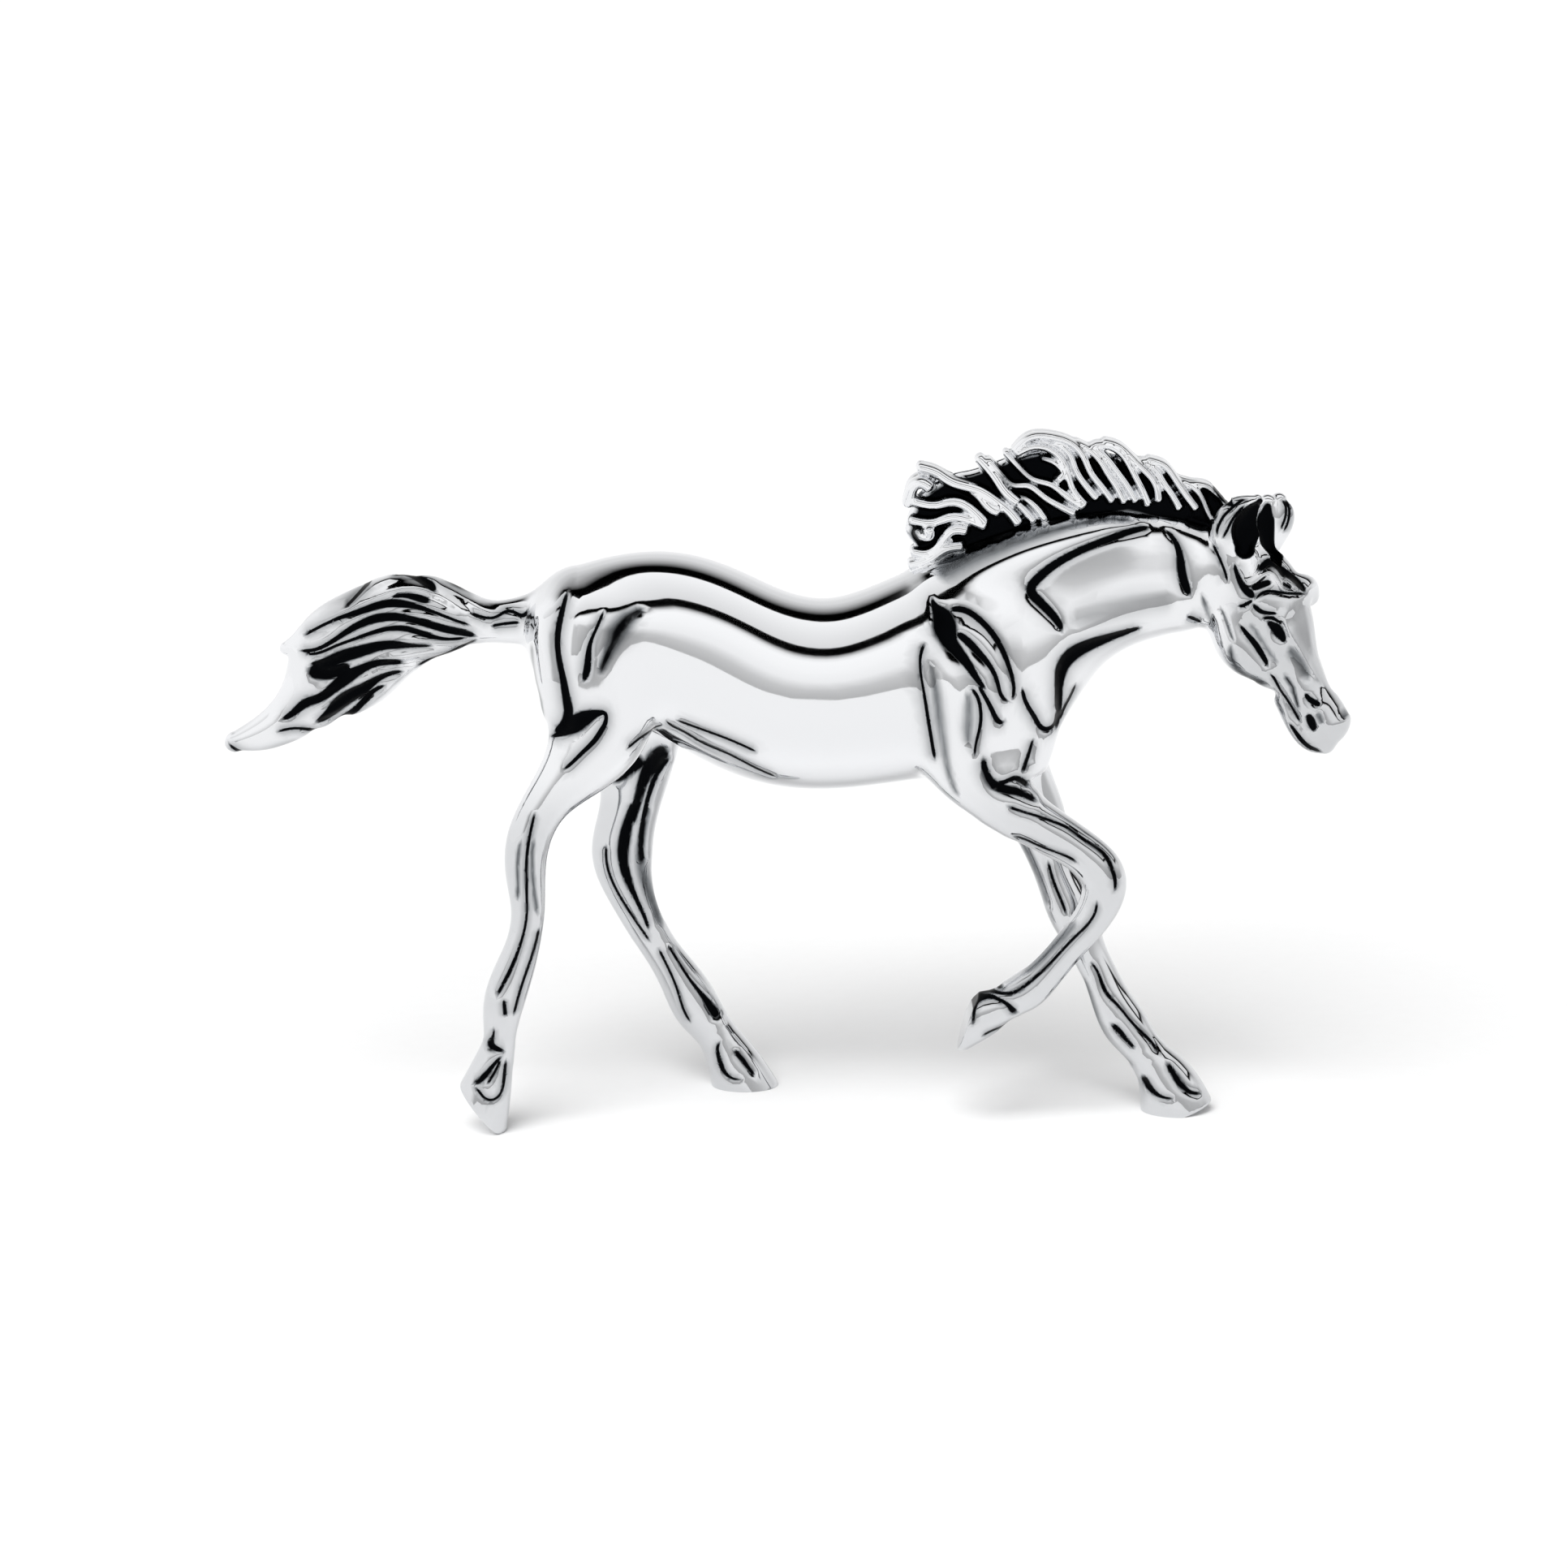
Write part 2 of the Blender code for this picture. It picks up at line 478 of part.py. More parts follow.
def settle(form, points):
    """The points moved onto the surface."""
    probe = 0.05
    slope = np.stack([field(form, points + probe * way) - field(form, points - probe * way)
                      for way in np.eye(3)], 1) / (2 * probe)
    size = np.maximum((slope ** 2).sum(1), 0.1)
    move = np.clip(field(form, points) / size, -0.3, 0.3)
    return points - move[:, None] * slope


def silver():
    material = bpy.data.materials.new("polished_silver")
    material.use_nodes = True
    shader = material.node_tree.nodes["Principled BSDF"]
    shader.inputs["Base Color"].default_value = SILVER
    shader.inputs["Roughness"].default_value = POLISH
    shader.inputs["Metallic"].default_value = 1.0
    return material


def centred(points):
    """The points in metres, with the foal's length along X and its middle at the origin."""
    low, high = points.min(0), points.max(0)
    middle = (low + high) / 2
    middle[2] = 0
    return (points - middle) * LENGTH / (high[0] - low[0])


def fill_pockets(body):
    """Takes away the skins of sealed pockets between locks, so that the casting is solid there."""
    muzzle = max(body.verts, key=lambda corner: corner.co.x)
    reached = {muzzle}
    edge_of_search = [muzzle]
    while edge_of_search:
        corner = edge_of_search.pop()
        for edge in corner.link_edges:
            other = edge.other_vert(corner)
            if other not in reached:
                reached.add(other)
                edge_of_search.append(other)
    pockets = [corner for corner in body.verts if corner not in reached]
    bmesh.ops.delete(body, geom=pockets, context="VERTS")


def solid(name, points, faces):
    """The skin as one object, cut level under the hooves, with few triangles."""
    mesh = bpy.data.meshes.new(name)
    mesh.from_pydata(points.tolist(), [], faces.tolist())
    mesh.materials.append(silver())
    body = bmesh.new()
    body.from_mesh(mesh)
    fill_pockets(body)
    bmesh.ops.recalc_face_normals(body, faces=body.faces)
    bmesh.ops.triangulate(body, faces=body.faces)
    cut = bmesh.ops.bisect_plane(body, geom=body.verts[:] + body.edges[:] + body.faces[:],
                                 plane_co=(0, 0, 0), plane_no=(0, 0, 1), clear_inner=True)
    rim = [item for item in cut["geom_cut"] if isinstance(item, bmesh.types.BMEdge)]
    bmesh.ops.holes_fill(body, edges=rim)
    body.to_mesh(mesh)
    body.free()
    item = bpy.data.objects.new(name, mesh)
    bpy.context.scene.collection.objects.link(item)
    fewer = item.modifiers.new("fewer triangles", "DECIMATE")
    fewer.ratio = min(1.0, TRIANGLES / (2 * len(faces)))
    return item


def main():
    for item in list(bpy.data.objects):
        bpy.data.objects.remove(item, do_unlink=True)
    form = foal()
    values, step = sample(form, ROOM_LOW, ROOM_HIGH, GRID)
    points, faces = skin(clear_up(values), ROOM_LOW, step)
    solid("foal", centred(settle(form, points)), faces)


main()
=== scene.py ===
"""A walking foal cast in silver, dressed for its picture.

The foal's skin is a smooth blend of oval tubes, swept along curves through
stations placed one by one, with lines carved into it. A station's numbers are
shares of the foal's length, in 120ths. Polishing leaves black oxide in the
carved lines and between the locks; grey painted shade is added beside the lines,
in soft bands, on the lower legs and on the face; each point of the skin keeps
how dark these make it.
"""

import math

import bmesh
import bpy
import numpy as np
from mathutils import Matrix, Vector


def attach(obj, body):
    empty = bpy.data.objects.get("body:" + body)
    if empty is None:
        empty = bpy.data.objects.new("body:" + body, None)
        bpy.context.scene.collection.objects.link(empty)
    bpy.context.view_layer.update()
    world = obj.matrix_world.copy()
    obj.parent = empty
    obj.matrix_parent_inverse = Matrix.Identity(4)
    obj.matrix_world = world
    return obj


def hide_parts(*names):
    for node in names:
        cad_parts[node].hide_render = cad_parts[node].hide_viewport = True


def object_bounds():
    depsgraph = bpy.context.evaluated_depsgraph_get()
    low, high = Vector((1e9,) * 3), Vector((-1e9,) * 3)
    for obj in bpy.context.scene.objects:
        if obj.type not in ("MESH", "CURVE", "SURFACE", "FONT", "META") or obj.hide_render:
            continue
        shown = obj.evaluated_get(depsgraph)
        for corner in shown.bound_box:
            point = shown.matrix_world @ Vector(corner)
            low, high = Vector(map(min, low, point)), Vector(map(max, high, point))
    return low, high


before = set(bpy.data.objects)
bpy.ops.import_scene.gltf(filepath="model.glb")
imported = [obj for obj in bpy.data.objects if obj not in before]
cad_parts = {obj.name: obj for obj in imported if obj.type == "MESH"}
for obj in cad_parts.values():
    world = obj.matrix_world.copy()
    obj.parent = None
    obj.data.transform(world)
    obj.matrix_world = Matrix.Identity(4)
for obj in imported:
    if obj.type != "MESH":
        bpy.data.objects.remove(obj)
cad_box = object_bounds()

# How the form is sampled, in the stations' unit.
COARSE = 1.8
HALVINGS = 3
TRIANGLES = 112000
MOST_TRIANGLES = 190000
BAND = 2.2
ROOM_LOW = np.array([-63.0, -14.0, -3.0])
ROOM_HIGH = np.array([63.0, 13.0, 77.0])
FAR_AWAY = 6.0
SIDEWAYS = (0, 1, 0)
# Which y a carved line acts across: the near legs, the far legs, or both sides alike.
NEAR, FAR, BOTH = (-99.0, -3.0), (-3.4, 99.0), (-99.0, 99.0)
# Half the width of the thinnest lines, and of thin ones on the legs, the tail and the cheek.
HAIRLINE, THIN_LINE = 0.14, 0.16
# A groove is this deep at the least, and deeper by this share of its half width up to a limit.
LEAST_DEPTH = 0.06
DEPTH_SHARE = 0.55
DEEPEST_HALF = 0.7
# A soft groove is this deep all along, and a leg's lines hold this much of the oxide.
SOFT_DEPTH = 0.12
LEG_DARK = 0.8
# The mane's locks are thicker where they start behind this x.
MANE_MIDDLE = 25
THICK_LOCK, FINE_LOCK = 0.70, 0.54
# The head is turned toward the camera by this slope, about the near cheek's plane.
HEAD_LEAN = 0.46
NEAR_CHEEK = -6.0
# Beside a black line a grey is painted, this dark and this wide: painted shade on the flanks of the groove.
FLANK_SHADE = 0.36
FLANK_SHADE_WIDTH = 0.6
# Below this height the legs are painted a little grey: painted shade on the lower legs.
LOW_LEG_SHADE = 0.13
LEG_SHADE_BELOW = 40.0
# The face is painted grey too, in front of this x and below this height: painted shade on the face's side.
FACE_SHADE = 0.18
FACE_FROM = 45.0
FACE_BELOW = 59.0
# Oxide fills the mane's roots up to this distance from the crest's surface.
CREST_REACH = 0.78
# The skin's edges are halved, this many times over, where the oxide and painted shade miss by this much.
SHARPENINGS = 3
SHARP_MISS = 0.12
SHORTEST_EDGE = 0.1

# The camera, in the stations' unit, and the picture's side in pixels.
CAMERA_DISTANCE = 420.0
CAMERA_ELEVATION = 14.0
AIM_HEIGHT = 36.1
PICTURE = 1932
PIXELS_PER_STATION = 1387 / 120
SENSOR = 36.0

# The tent's lights: its bright left end, its share on matt card, and the lamp's strength and angles.
LEFT_END = 1.1
ON_CARD = 0.68
LAMP_STRENGTH = 2.35
LAMP_WIDTH = 40
LAMP_TILT = 35
LAMP_TURN = -24


def cubic(stations):
    """A natural cubic curve through the rows, measured by its running length."""
    rows = np.array(stations, float)
    steps = np.linalg.norm(np.diff(rows[:, :3], axis=0), axis=1)
    knots = np.concatenate([[0.0], np.cumsum(steps)])
    system = np.eye(len(rows))
    bends = np.zeros_like(rows)
    for i in range(1, len(rows) - 1):
        before, after = steps[i - 1], steps[i]
        system[i, i - 1:i + 2] = before, 2 * (before + after), after
        bends[i] = 6 * ((rows[i + 1] - rows[i]) / after - (rows[i] - rows[i - 1]) / before)
    return knots, rows, np.linalg.solve(system, bends), steps


def along(curve, place):
    """The curve's row, slope and bend at each place."""
    knots, rows, bends, steps = curve
    span = np.clip(np.searchsorted(knots, place, side="right") - 1, 0, len(steps) - 1)
    step = steps[span][:, None]
    back = (knots[span + 1] - place)[:, None] / step
    ahead = 1 - back
    start, end = rows[span], rows[span + 1]
    bend_start, bend_end = bends[span], bends[span + 1]
    row = back * start + ahead * end
    row += ((back ** 3 - back) * bend_start + (ahead ** 3 - ahead) * bend_end) * step ** 2 / 6
    slope = (end - start) / step
    slope += ((3 * ahead ** 2 - 1) * bend_end - (3 * back ** 2 - 1) * bend_start) * step / 6
    return row, slope, back * bend_start + ahead * bend_end


def unit(vectors):
    return vectors / np.maximum(np.linalg.norm(vectors, axis=-1, keepdims=True), 1e-9)


def nearest(curve, places, marks, points):
    """The place on the curve that is nearest to each point."""
    spread = (marks ** 2).sum(1) - 2 * points @ marks.T
    place = places[spread.argmin(1)]
    limit = places[1]
    for _ in range(3):
        row, slope, bend = along(curve, place)
        gap = points - row[:, :3]
        pull = (gap * slope[:, :3]).sum(1)
        rate = (slope[:, :3] ** 2).sum(1) - (gap * bend[:, :3]).sum(1)
        move = np.clip(pull / np.maximum(rate, 0.2), -limit, limit)
        place = np.clip(place + move, 0, places[-1])
    return place


def ease(value):
    """Rises smoothly from 0 to 1 as the value does."""
    value = np.clip(value, 0, 1)
    return value * value * (3 - 2 * value)


class Tube:
    """An oval tube along a curve. A station is x, y, z, half depth, half width."""

    def __init__(self, stations, blend=1.0, cap=None, cuts=(), side=SIDEWAYS, hollow=False, is_crest=False):
        self.curve = cubic(stations)
        self.length = self.curve[0][-1]
        self.blend = blend
        self.cap = cap
        self.cuts = cuts
        self.side = unit(np.array(side, float))
        self.hollow = hollow
        self.is_crest = is_crest
        self.places = np.linspace(0, self.length, max(8, int(self.length / 0.8)))
        self.marks = along(self.curve, self.places)[0]
        reach = self.marks[:, 3:5].max() + blend + BAND
        self.low = self.marks[:, :3].min(0) - reach
        self.high = self.marks[:, :3].max(0) + reach

    def distance(self, points):
        place = nearest(self.curve, self.places, self.marks[:, :3], points)
        row, slope, _ = along(self.curve, place)
        gap = points - row[:, :3]
        ahead = unit(slope[:, :3])
        side = unit(self.side - (ahead @ self.side)[:, None] * ahead)
        up = np.cross(ahead, side)
        local = np.stack([(gap * up).sum(1), (gap * side).sum(1), (gap * ahead).sum(1)], 1)
        radii = np.maximum(row[:, [3, 4, 4]], 0.05)
        radii[:, 2] = self.cap if self.cap else radii[:, :2].min(1)
        inner = np.linalg.norm(local / radii, axis=1)
        outer = np.linalg.norm(local / radii ** 2, axis=1)
        value = inner * (inner - 1) / np.maximum(outer, 1e-6)
        value = np.where(inner < 0.05, -radii.min(1), value)
        for place, facing in self.cuts:
            plane = (points - np.array(place)) @ unit(np.array(facing, float))
            value = join(value, plane, -0.5)
        return value


class Line:
    """A line drawn in the side view. Each spot is x, z and half the line's width.

    It acts where y lies across the two limits. A leaning line is drawn square to the turned head.
    At each end it fades out over a length, which is limited and at most a share of the line's own.
    """

    longest_fade, fade_share = 1.3, 0.22

    def __init__(self, spots, across=BOTH, lean=0.0):
        self.curve = cubic([(x, 0, z, half) for x, z, half in spots])
        self.length = self.curve[0][-1]
        self.fade = min(self.longest_fade, self.fade_share * self.length)
        self.across = across
        self.lean = lean
        self.places = np.linspace(0, self.length, max(6, int(self.length / 0.5)))
        self.marks = along(self.curve, self.places)[0]
        reach = 3 * self.marks[:, 3].max() + 0.7
        self.low = self.marks[:, :3].min(0) - reach - (7 * lean, 0, 0)
        self.high = self.marks[:, :3].max(0) + reach + (12 * lean, 0, 0)
        self.low[1], self.high[1] = across

    def measure(self, points):
        """Each point's distance from the line, the line's half width there, and its strength."""
        flat = points * (1.0, 0, 1.0)
        flat[:, 0] -= self.lean * (points[:, 1] - NEAR_CHEEK)
        place = nearest(self.curve, self.places, self.marks[:, :3], flat)
        row = along(self.curve, place)[0]
        gap = np.linalg.norm((flat - row[:, :3]) * (1.0, 0, 1.0), axis=1)
        low, high = self.across
        end = ease(np.minimum(place, self.length - place) / self.fade + 0.1)
        half = np.maximum(row[:, 3], 0.06) * (0.4 + 0.6 * end)
        return gap, half, end * ease(points[:, 1] - low) * ease(high - points[:, 1])


class Groove(Line):
    """A line cut into the skin, with oxide in it: dark is how much, and a grey painted shade on its flanks. A
    soft one holds only painted shade, as dark as soft says, fading out sideways.
    """

    def __init__(self, spots, across=BOTH, lean=0.0, dark=1.0, soft=0.0):
        super().__init__(spots, across, lean)
        self.dark = dark
        self.soft = soft

    def change(self, points):
        gap, half, strength = self.measure(points)
        depth = SOFT_DEPTH if self.soft else LEAST_DEPTH + DEPTH_SHARE * np.minimum(half, DEEPEST_HALF)
        return strength * depth * np.exp(-(gap / (half + 0.2)) ** 2)

    def black(self, points):
        gap, half, strength = self.measure(points)
        # A soft groove's darkness is painted shade, a grey band that fades out sideways.
        if self.soft:
            return self.soft * strength * np.exp(-(gap / (1.5 * half)) ** 2)
        # The grey beside the oxide is painted shade on the groove's flanks.
        flank_shade = FLANK_SHADE * np.exp(-(gap / (half + FLANK_SHADE_WIDTH)) ** 2)
        return strength * np.maximum(flank_shade, self.dark * ease((1.4 - gap / half) / 0.8))


class Ridge(Line):
    """A rounded line raised from the skin by its height."""

    longest_fade, fade_share = 3.5, 0.4

    def __init__(self, spots, height, across=BOTH, lean=0.0):
        super().__init__(spots, across, lean)
        self.height = height

    def change(self, points):
        gap, half, strength = self.measure(points)
        return -strength * self.height * np.exp(-(gap / half) ** 2)

    def black(self, points):
        return np.zeros(len(points))


def grooves(*rows, thin=HAIRLINE, **how):
    """Grooves along the rows of spots. A spot that gives no half width is as thin as said."""
    return [Groove([spot if len(spot) == 3 else (*spot, thin) for spot in row], **how) for row in rows]


def ridges(*rows, **how):
    """Ridges along the rows of spots."""
    return [Ridge(row, **how) for row in rows]


def join(first, second, blend):
    """The smooth union of two fields, or with a negative blend their smooth overlap."""
    sign = 1 if blend > 0 else -1
    width = abs(blend)
    first, second = sign * first, sign * second
    meet = np.maximum(width - np.abs(first - second), 0) / width
    return sign * (np.minimum(first, second) - meet ** 3 * width / 6)


def trunk():
    return [
        Tube([(-21.2, 0, 52.4, 7.4, 6.6), (-12.3, 0, 51.9, 9.3, 8.2), (-5.7, 0, 48.7, 9.9, 8.6),
              (0.5, 0, 46.3, 10.2, 8.9), (7.0, 0, 46.2, 10.2, 9.0), (14.0, 0, 47.7, 10.9, 8.8),
              (20.0, 0, 48.6, 11.0, 8.2), (24.5, 0, 48.4, 8.8, 6.8)], cap=6.0),
        Tube([(20.5, 0, 50.0, 9.5, 6.7), (26.0, 0, 54.5, 9.2, 5.4), (30.7, 0, 57.2, 8.0, 4.4),
              (36.2, 0, 58.9, 6.9, 3.8), (41.1, -0.2, 59.3, 6.1, 3.5), (45.0, -0.7, 58.6, 5.2, 3.5)],
             blend=5.0, cap=3.0),
        Tube([(24.0, 0, 48.6, 5.6, 5.6), (30.7, 0, 53.3, 4.1, 5.2), (36.2, -0.1, 55.6, 3.6, 4.7),
              (41.1, -0.4, 56.4, 3.2, 4.1)], blend=3.5, cap=2.5),
        Tube([(16.0, 0, 57.0, 3.0, 4.5), (22.0, 0, 59.5, 3.2, 4.2), (28.0, 0, 61.5, 3.0, 3.6),
              (34.0, 0, 62.8, 2.6, 3.0)], blend=3.0, cap=2.5),
    ]


def head():
    turned = (0.42, 0.91, 0)
    return [
        Tube([(46.6, -0.9, 60.6, 4.4, 3.2), (49.3, -1.9, 56.9, 5.2, 3.7), (51.5, -3.0, 53.2, 4.4, 3.4),
              (53.4, -4.1, 49.3, 3.0, 2.6), (55.2, -5.1, 46.2, 2.5, 2.3), (56.7, -5.8, 43.9, 2.4, 2.3)],
             blend=2.5, cap=2.2, side=turned),
        Tube([(47.2, -2.2, 54.6, 2.8, 3.0), (48.4, -3.0, 51.6, 2.7, 3.1), (50.4, -3.9, 49.6, 1.8, 2.3)],
             blend=1.6, cap=2.2, side=turned),
        Tube([(52.4, -4.4, 46.2, 0.9, 1.3), (53.2, -4.7, 44.9, 1.05, 1.5), (54.3, -5.2, 43.2, 1.15, 1.6),
              (55.6, -5.7, 42.2, 1.2, 1.7), (56.7, -6.0, 42.1, 1.2, 1.7)], blend=0.8, cap=1.1, side=turned),
        Tube([(56.6, -5.6, 45.9, 1.5, 2.3), (57.6, -6.0, 44.4, 1.6, 2.3)], blend=1.2, cap=1.4, side=turned),
        Tube([(52.2, -4.7, 56.9, 1.2, 1.2), (54.3, -2.9, 57.9, 1.5, 1.4), (55.0, -1.4, 56.9, 1.2, 1.2)],
             blend=1.2),
        Tube([(52.3, -5.6, 56.2, 0.5, 0.5), (51.4, -6.1, 55.4, 0.5, 0.5), (50.4, -6.1, 54.9, 0.4, 0.4)],
             blend=0.8),
    ]


def legs():
    return [
        Tube([(21.5, -4.4, 46.5, 3.6, 2.6), (23.0, -4.8, 42.2, 3.2, 2.5), (23.9, -5.1, 39.4, 2.4, 2.3)],
             blend=2.2, cap=1.5),
        Tube([(27.0, -2.6, 44.5, 2.0, 2.4), (26.8, -3.4, 42.2, 1.9, 2.4), (26.3, -4.0, 39.6, 1.6, 2.1)],
             blend=2.0, cap=1.5),
        Tube([(-18.6, -3.8, 53.8, 7.2, 4.4), (-19.4, -4.9, 47.5, 6.4, 4.2), (-19.9, -5.6, 42.9, 5.4, 3.7),
              (-22.0, -6.3, 39.3, 3.7, 2.9), (-24.9, -6.8, 35.8, 2.5, 2.3), (-26.9, -7.2, 31.6, 2.3, 2.1),
              (-27.2, -7.4, 28.0, 2.1, 1.9), (-27.0, -7.6, 24.4, 1.8, 1.6), (-27.5, -7.8, 20.9, 1.8, 1.6),
              (-28.7, -7.9, 17.3, 2.1, 1.8), (-29.8, -8.0, 13.7, 2.1, 1.9), (-30.2, -8.0, 10.4, 1.7, 1.6),
              (-30.5, -8.0, 8.0, 1.7, 1.7)], blend=3.0),
        Tube([(-16.5, 3.8, 50.0, 7.0, 4.2), (-15.9, 4.9, 42.5, 5.4, 3.8), (-16.1, 5.6, 36.5, 4.0, 3.2),
              (-16.9, 6.1, 31.3, 3.2, 2.6), (-17.6, 6.6, 26.6, 3.3, 2.3), (-16.7, 6.9, 22.2, 2.6, 2.0),
              (-15.0, 7.1, 18.2, 2.1, 1.7), (-13.2, 7.3, 15.1, 2.0, 1.7), (-11.2, 7.4, 11.9, 2.4, 1.9),
              (-9.4, 7.5, 8.6, 2.6, 2.1), (-7.6, 7.5, 6.0, 2.2, 1.9), (-6.5, 7.5, 4.2, 2.2, 1.9)], blend=3.0),
        Tube([(18.5, -4.6, 47.0, 6.5, 3.8), (18.9, -5.8, 41.0, 4.8, 3.3), (21.5, -6.3, 37.3, 3.5, 2.9),
              (24.6, -6.5, 34.8, 2.9, 2.5)], blend=3.0),
        Tube([(22.8, -6.4, 36.0, 2.9, 2.5), (28.1, -6.6, 32.5, 2.5, 2.3), (31.5, -6.7, 30.3, 2.3, 2.1),
              (33.7, -6.7, 27.4, 2.4, 2.2), (33.1, -6.7, 24.2, 2.1, 1.9), (30.3, -6.6, 20.2, 1.8, 1.6),
              (27.7, -6.5, 17.0, 1.9, 1.6), (25.3, -6.4, 14.8, 2.1, 1.9), (23.4, -6.3, 13.9, 1.9, 1.8),
              (22.4, -6.3, 13.4, 1.9, 1.8)], blend=1.2),
        Tube([(22.6, 4.2, 44.0, 5.6, 3.4), (25.0, 4.9, 36.5, 3.6, 3.0), (27.4, 4.8, 31.0, 3.1, 2.6),
              (29.4, 3.8, 25.4, 2.4, 2.2), (31.2, 2.7, 21.2, 2.6, 2.2), (32.7, 1.8, 17.6, 2.0, 1.8),
              (34.0, 1.1, 14.9, 1.9, 1.6), (35.3, 0.5, 12.0, 2.2, 1.8), (36.9, 0, 9.2, 2.5, 2.0),
              (38.5, -0.5, 7.1, 2.2, 1.9), (40.0, -0.8, 5.2, 2.2, 1.9)], blend=3.0),
    ]


def hooves():
    return [
        Tube([(-30.4, -8.0, 9.4, 1.7, 1.6), (-31.4, -8.0, 5.8, 2.5, 2.2), (-32.8, -8.0, 1.4, 3.4, 2.7)],
             blend=0.6, cuts=[((-34.6, -8.0, 5.0), (-0.784, 0, -0.621))]),
        Tube([(-7.2, 7.5, 5.6, 2.1, 1.9), (-5.6, 7.5, 2.6, 2.9, 2.5), (-4.2, 7.5, -0.9, 3.7, 2.9)],
             blend=0.6, cuts=[((-4.0, 7.5, -0.8), (0, 0, -1))]),
        Tube([(24.0, -6.3, 13.7, 1.7, 1.7), (21.6, -6.3, 12.8, 2.6, 2.2), (18.6, -6.3, 11.9, 3.5, 2.7)],
             blend=0.6, cuts=[((19.6, -6.3, 12.6), (-0.96, 0, 0.28))]),
        Tube([(39.6, -0.8, 5.9, 2.1, 1.9), (41.3, -0.9, 3.4, 3.1, 2.6), (42.8, -1.0, -0.6, 4.1, 3.1)],
             blend=0.6, cuts=[((42.8, -1.0, -0.8), (0, 0, -1)), ((43.4, -1.0, 0), (0.34, 0, -0.94))]),
    ]


def tail():
    return [
        Tube([(-24.0, 0, 54.5, 3.2, 2.6), (-27.5, 0, 53.9, 2.6, 2.1), (-31.3, 0, 53.8, 2.3, 2.0),
              (-35.4, 0, 54.2, 3.5, 2.5), (-39.3, 0, 54.0, 4.6, 3.0), (-43.6, 0, 52.0, 5.6, 3.2),
              (-47.3, 0, 49.0, 5.6, 2.9), (-50.3, 0, 45.6, 3.4, 2.3), (-54.2, 0, 42.2, 2.2, 1.8),
              (-58.0, 0, 40.8, 1.2, 1.2)], blend=1.5, cap=1.5),
        Tube([(-45.0, 0, 53.8, 2.6, 2.4), (-49.2, 0, 52.1, 1.8, 1.8), (-52.6, 0, 50.9, 0.7, 0.8)], blend=1.0),
    ]


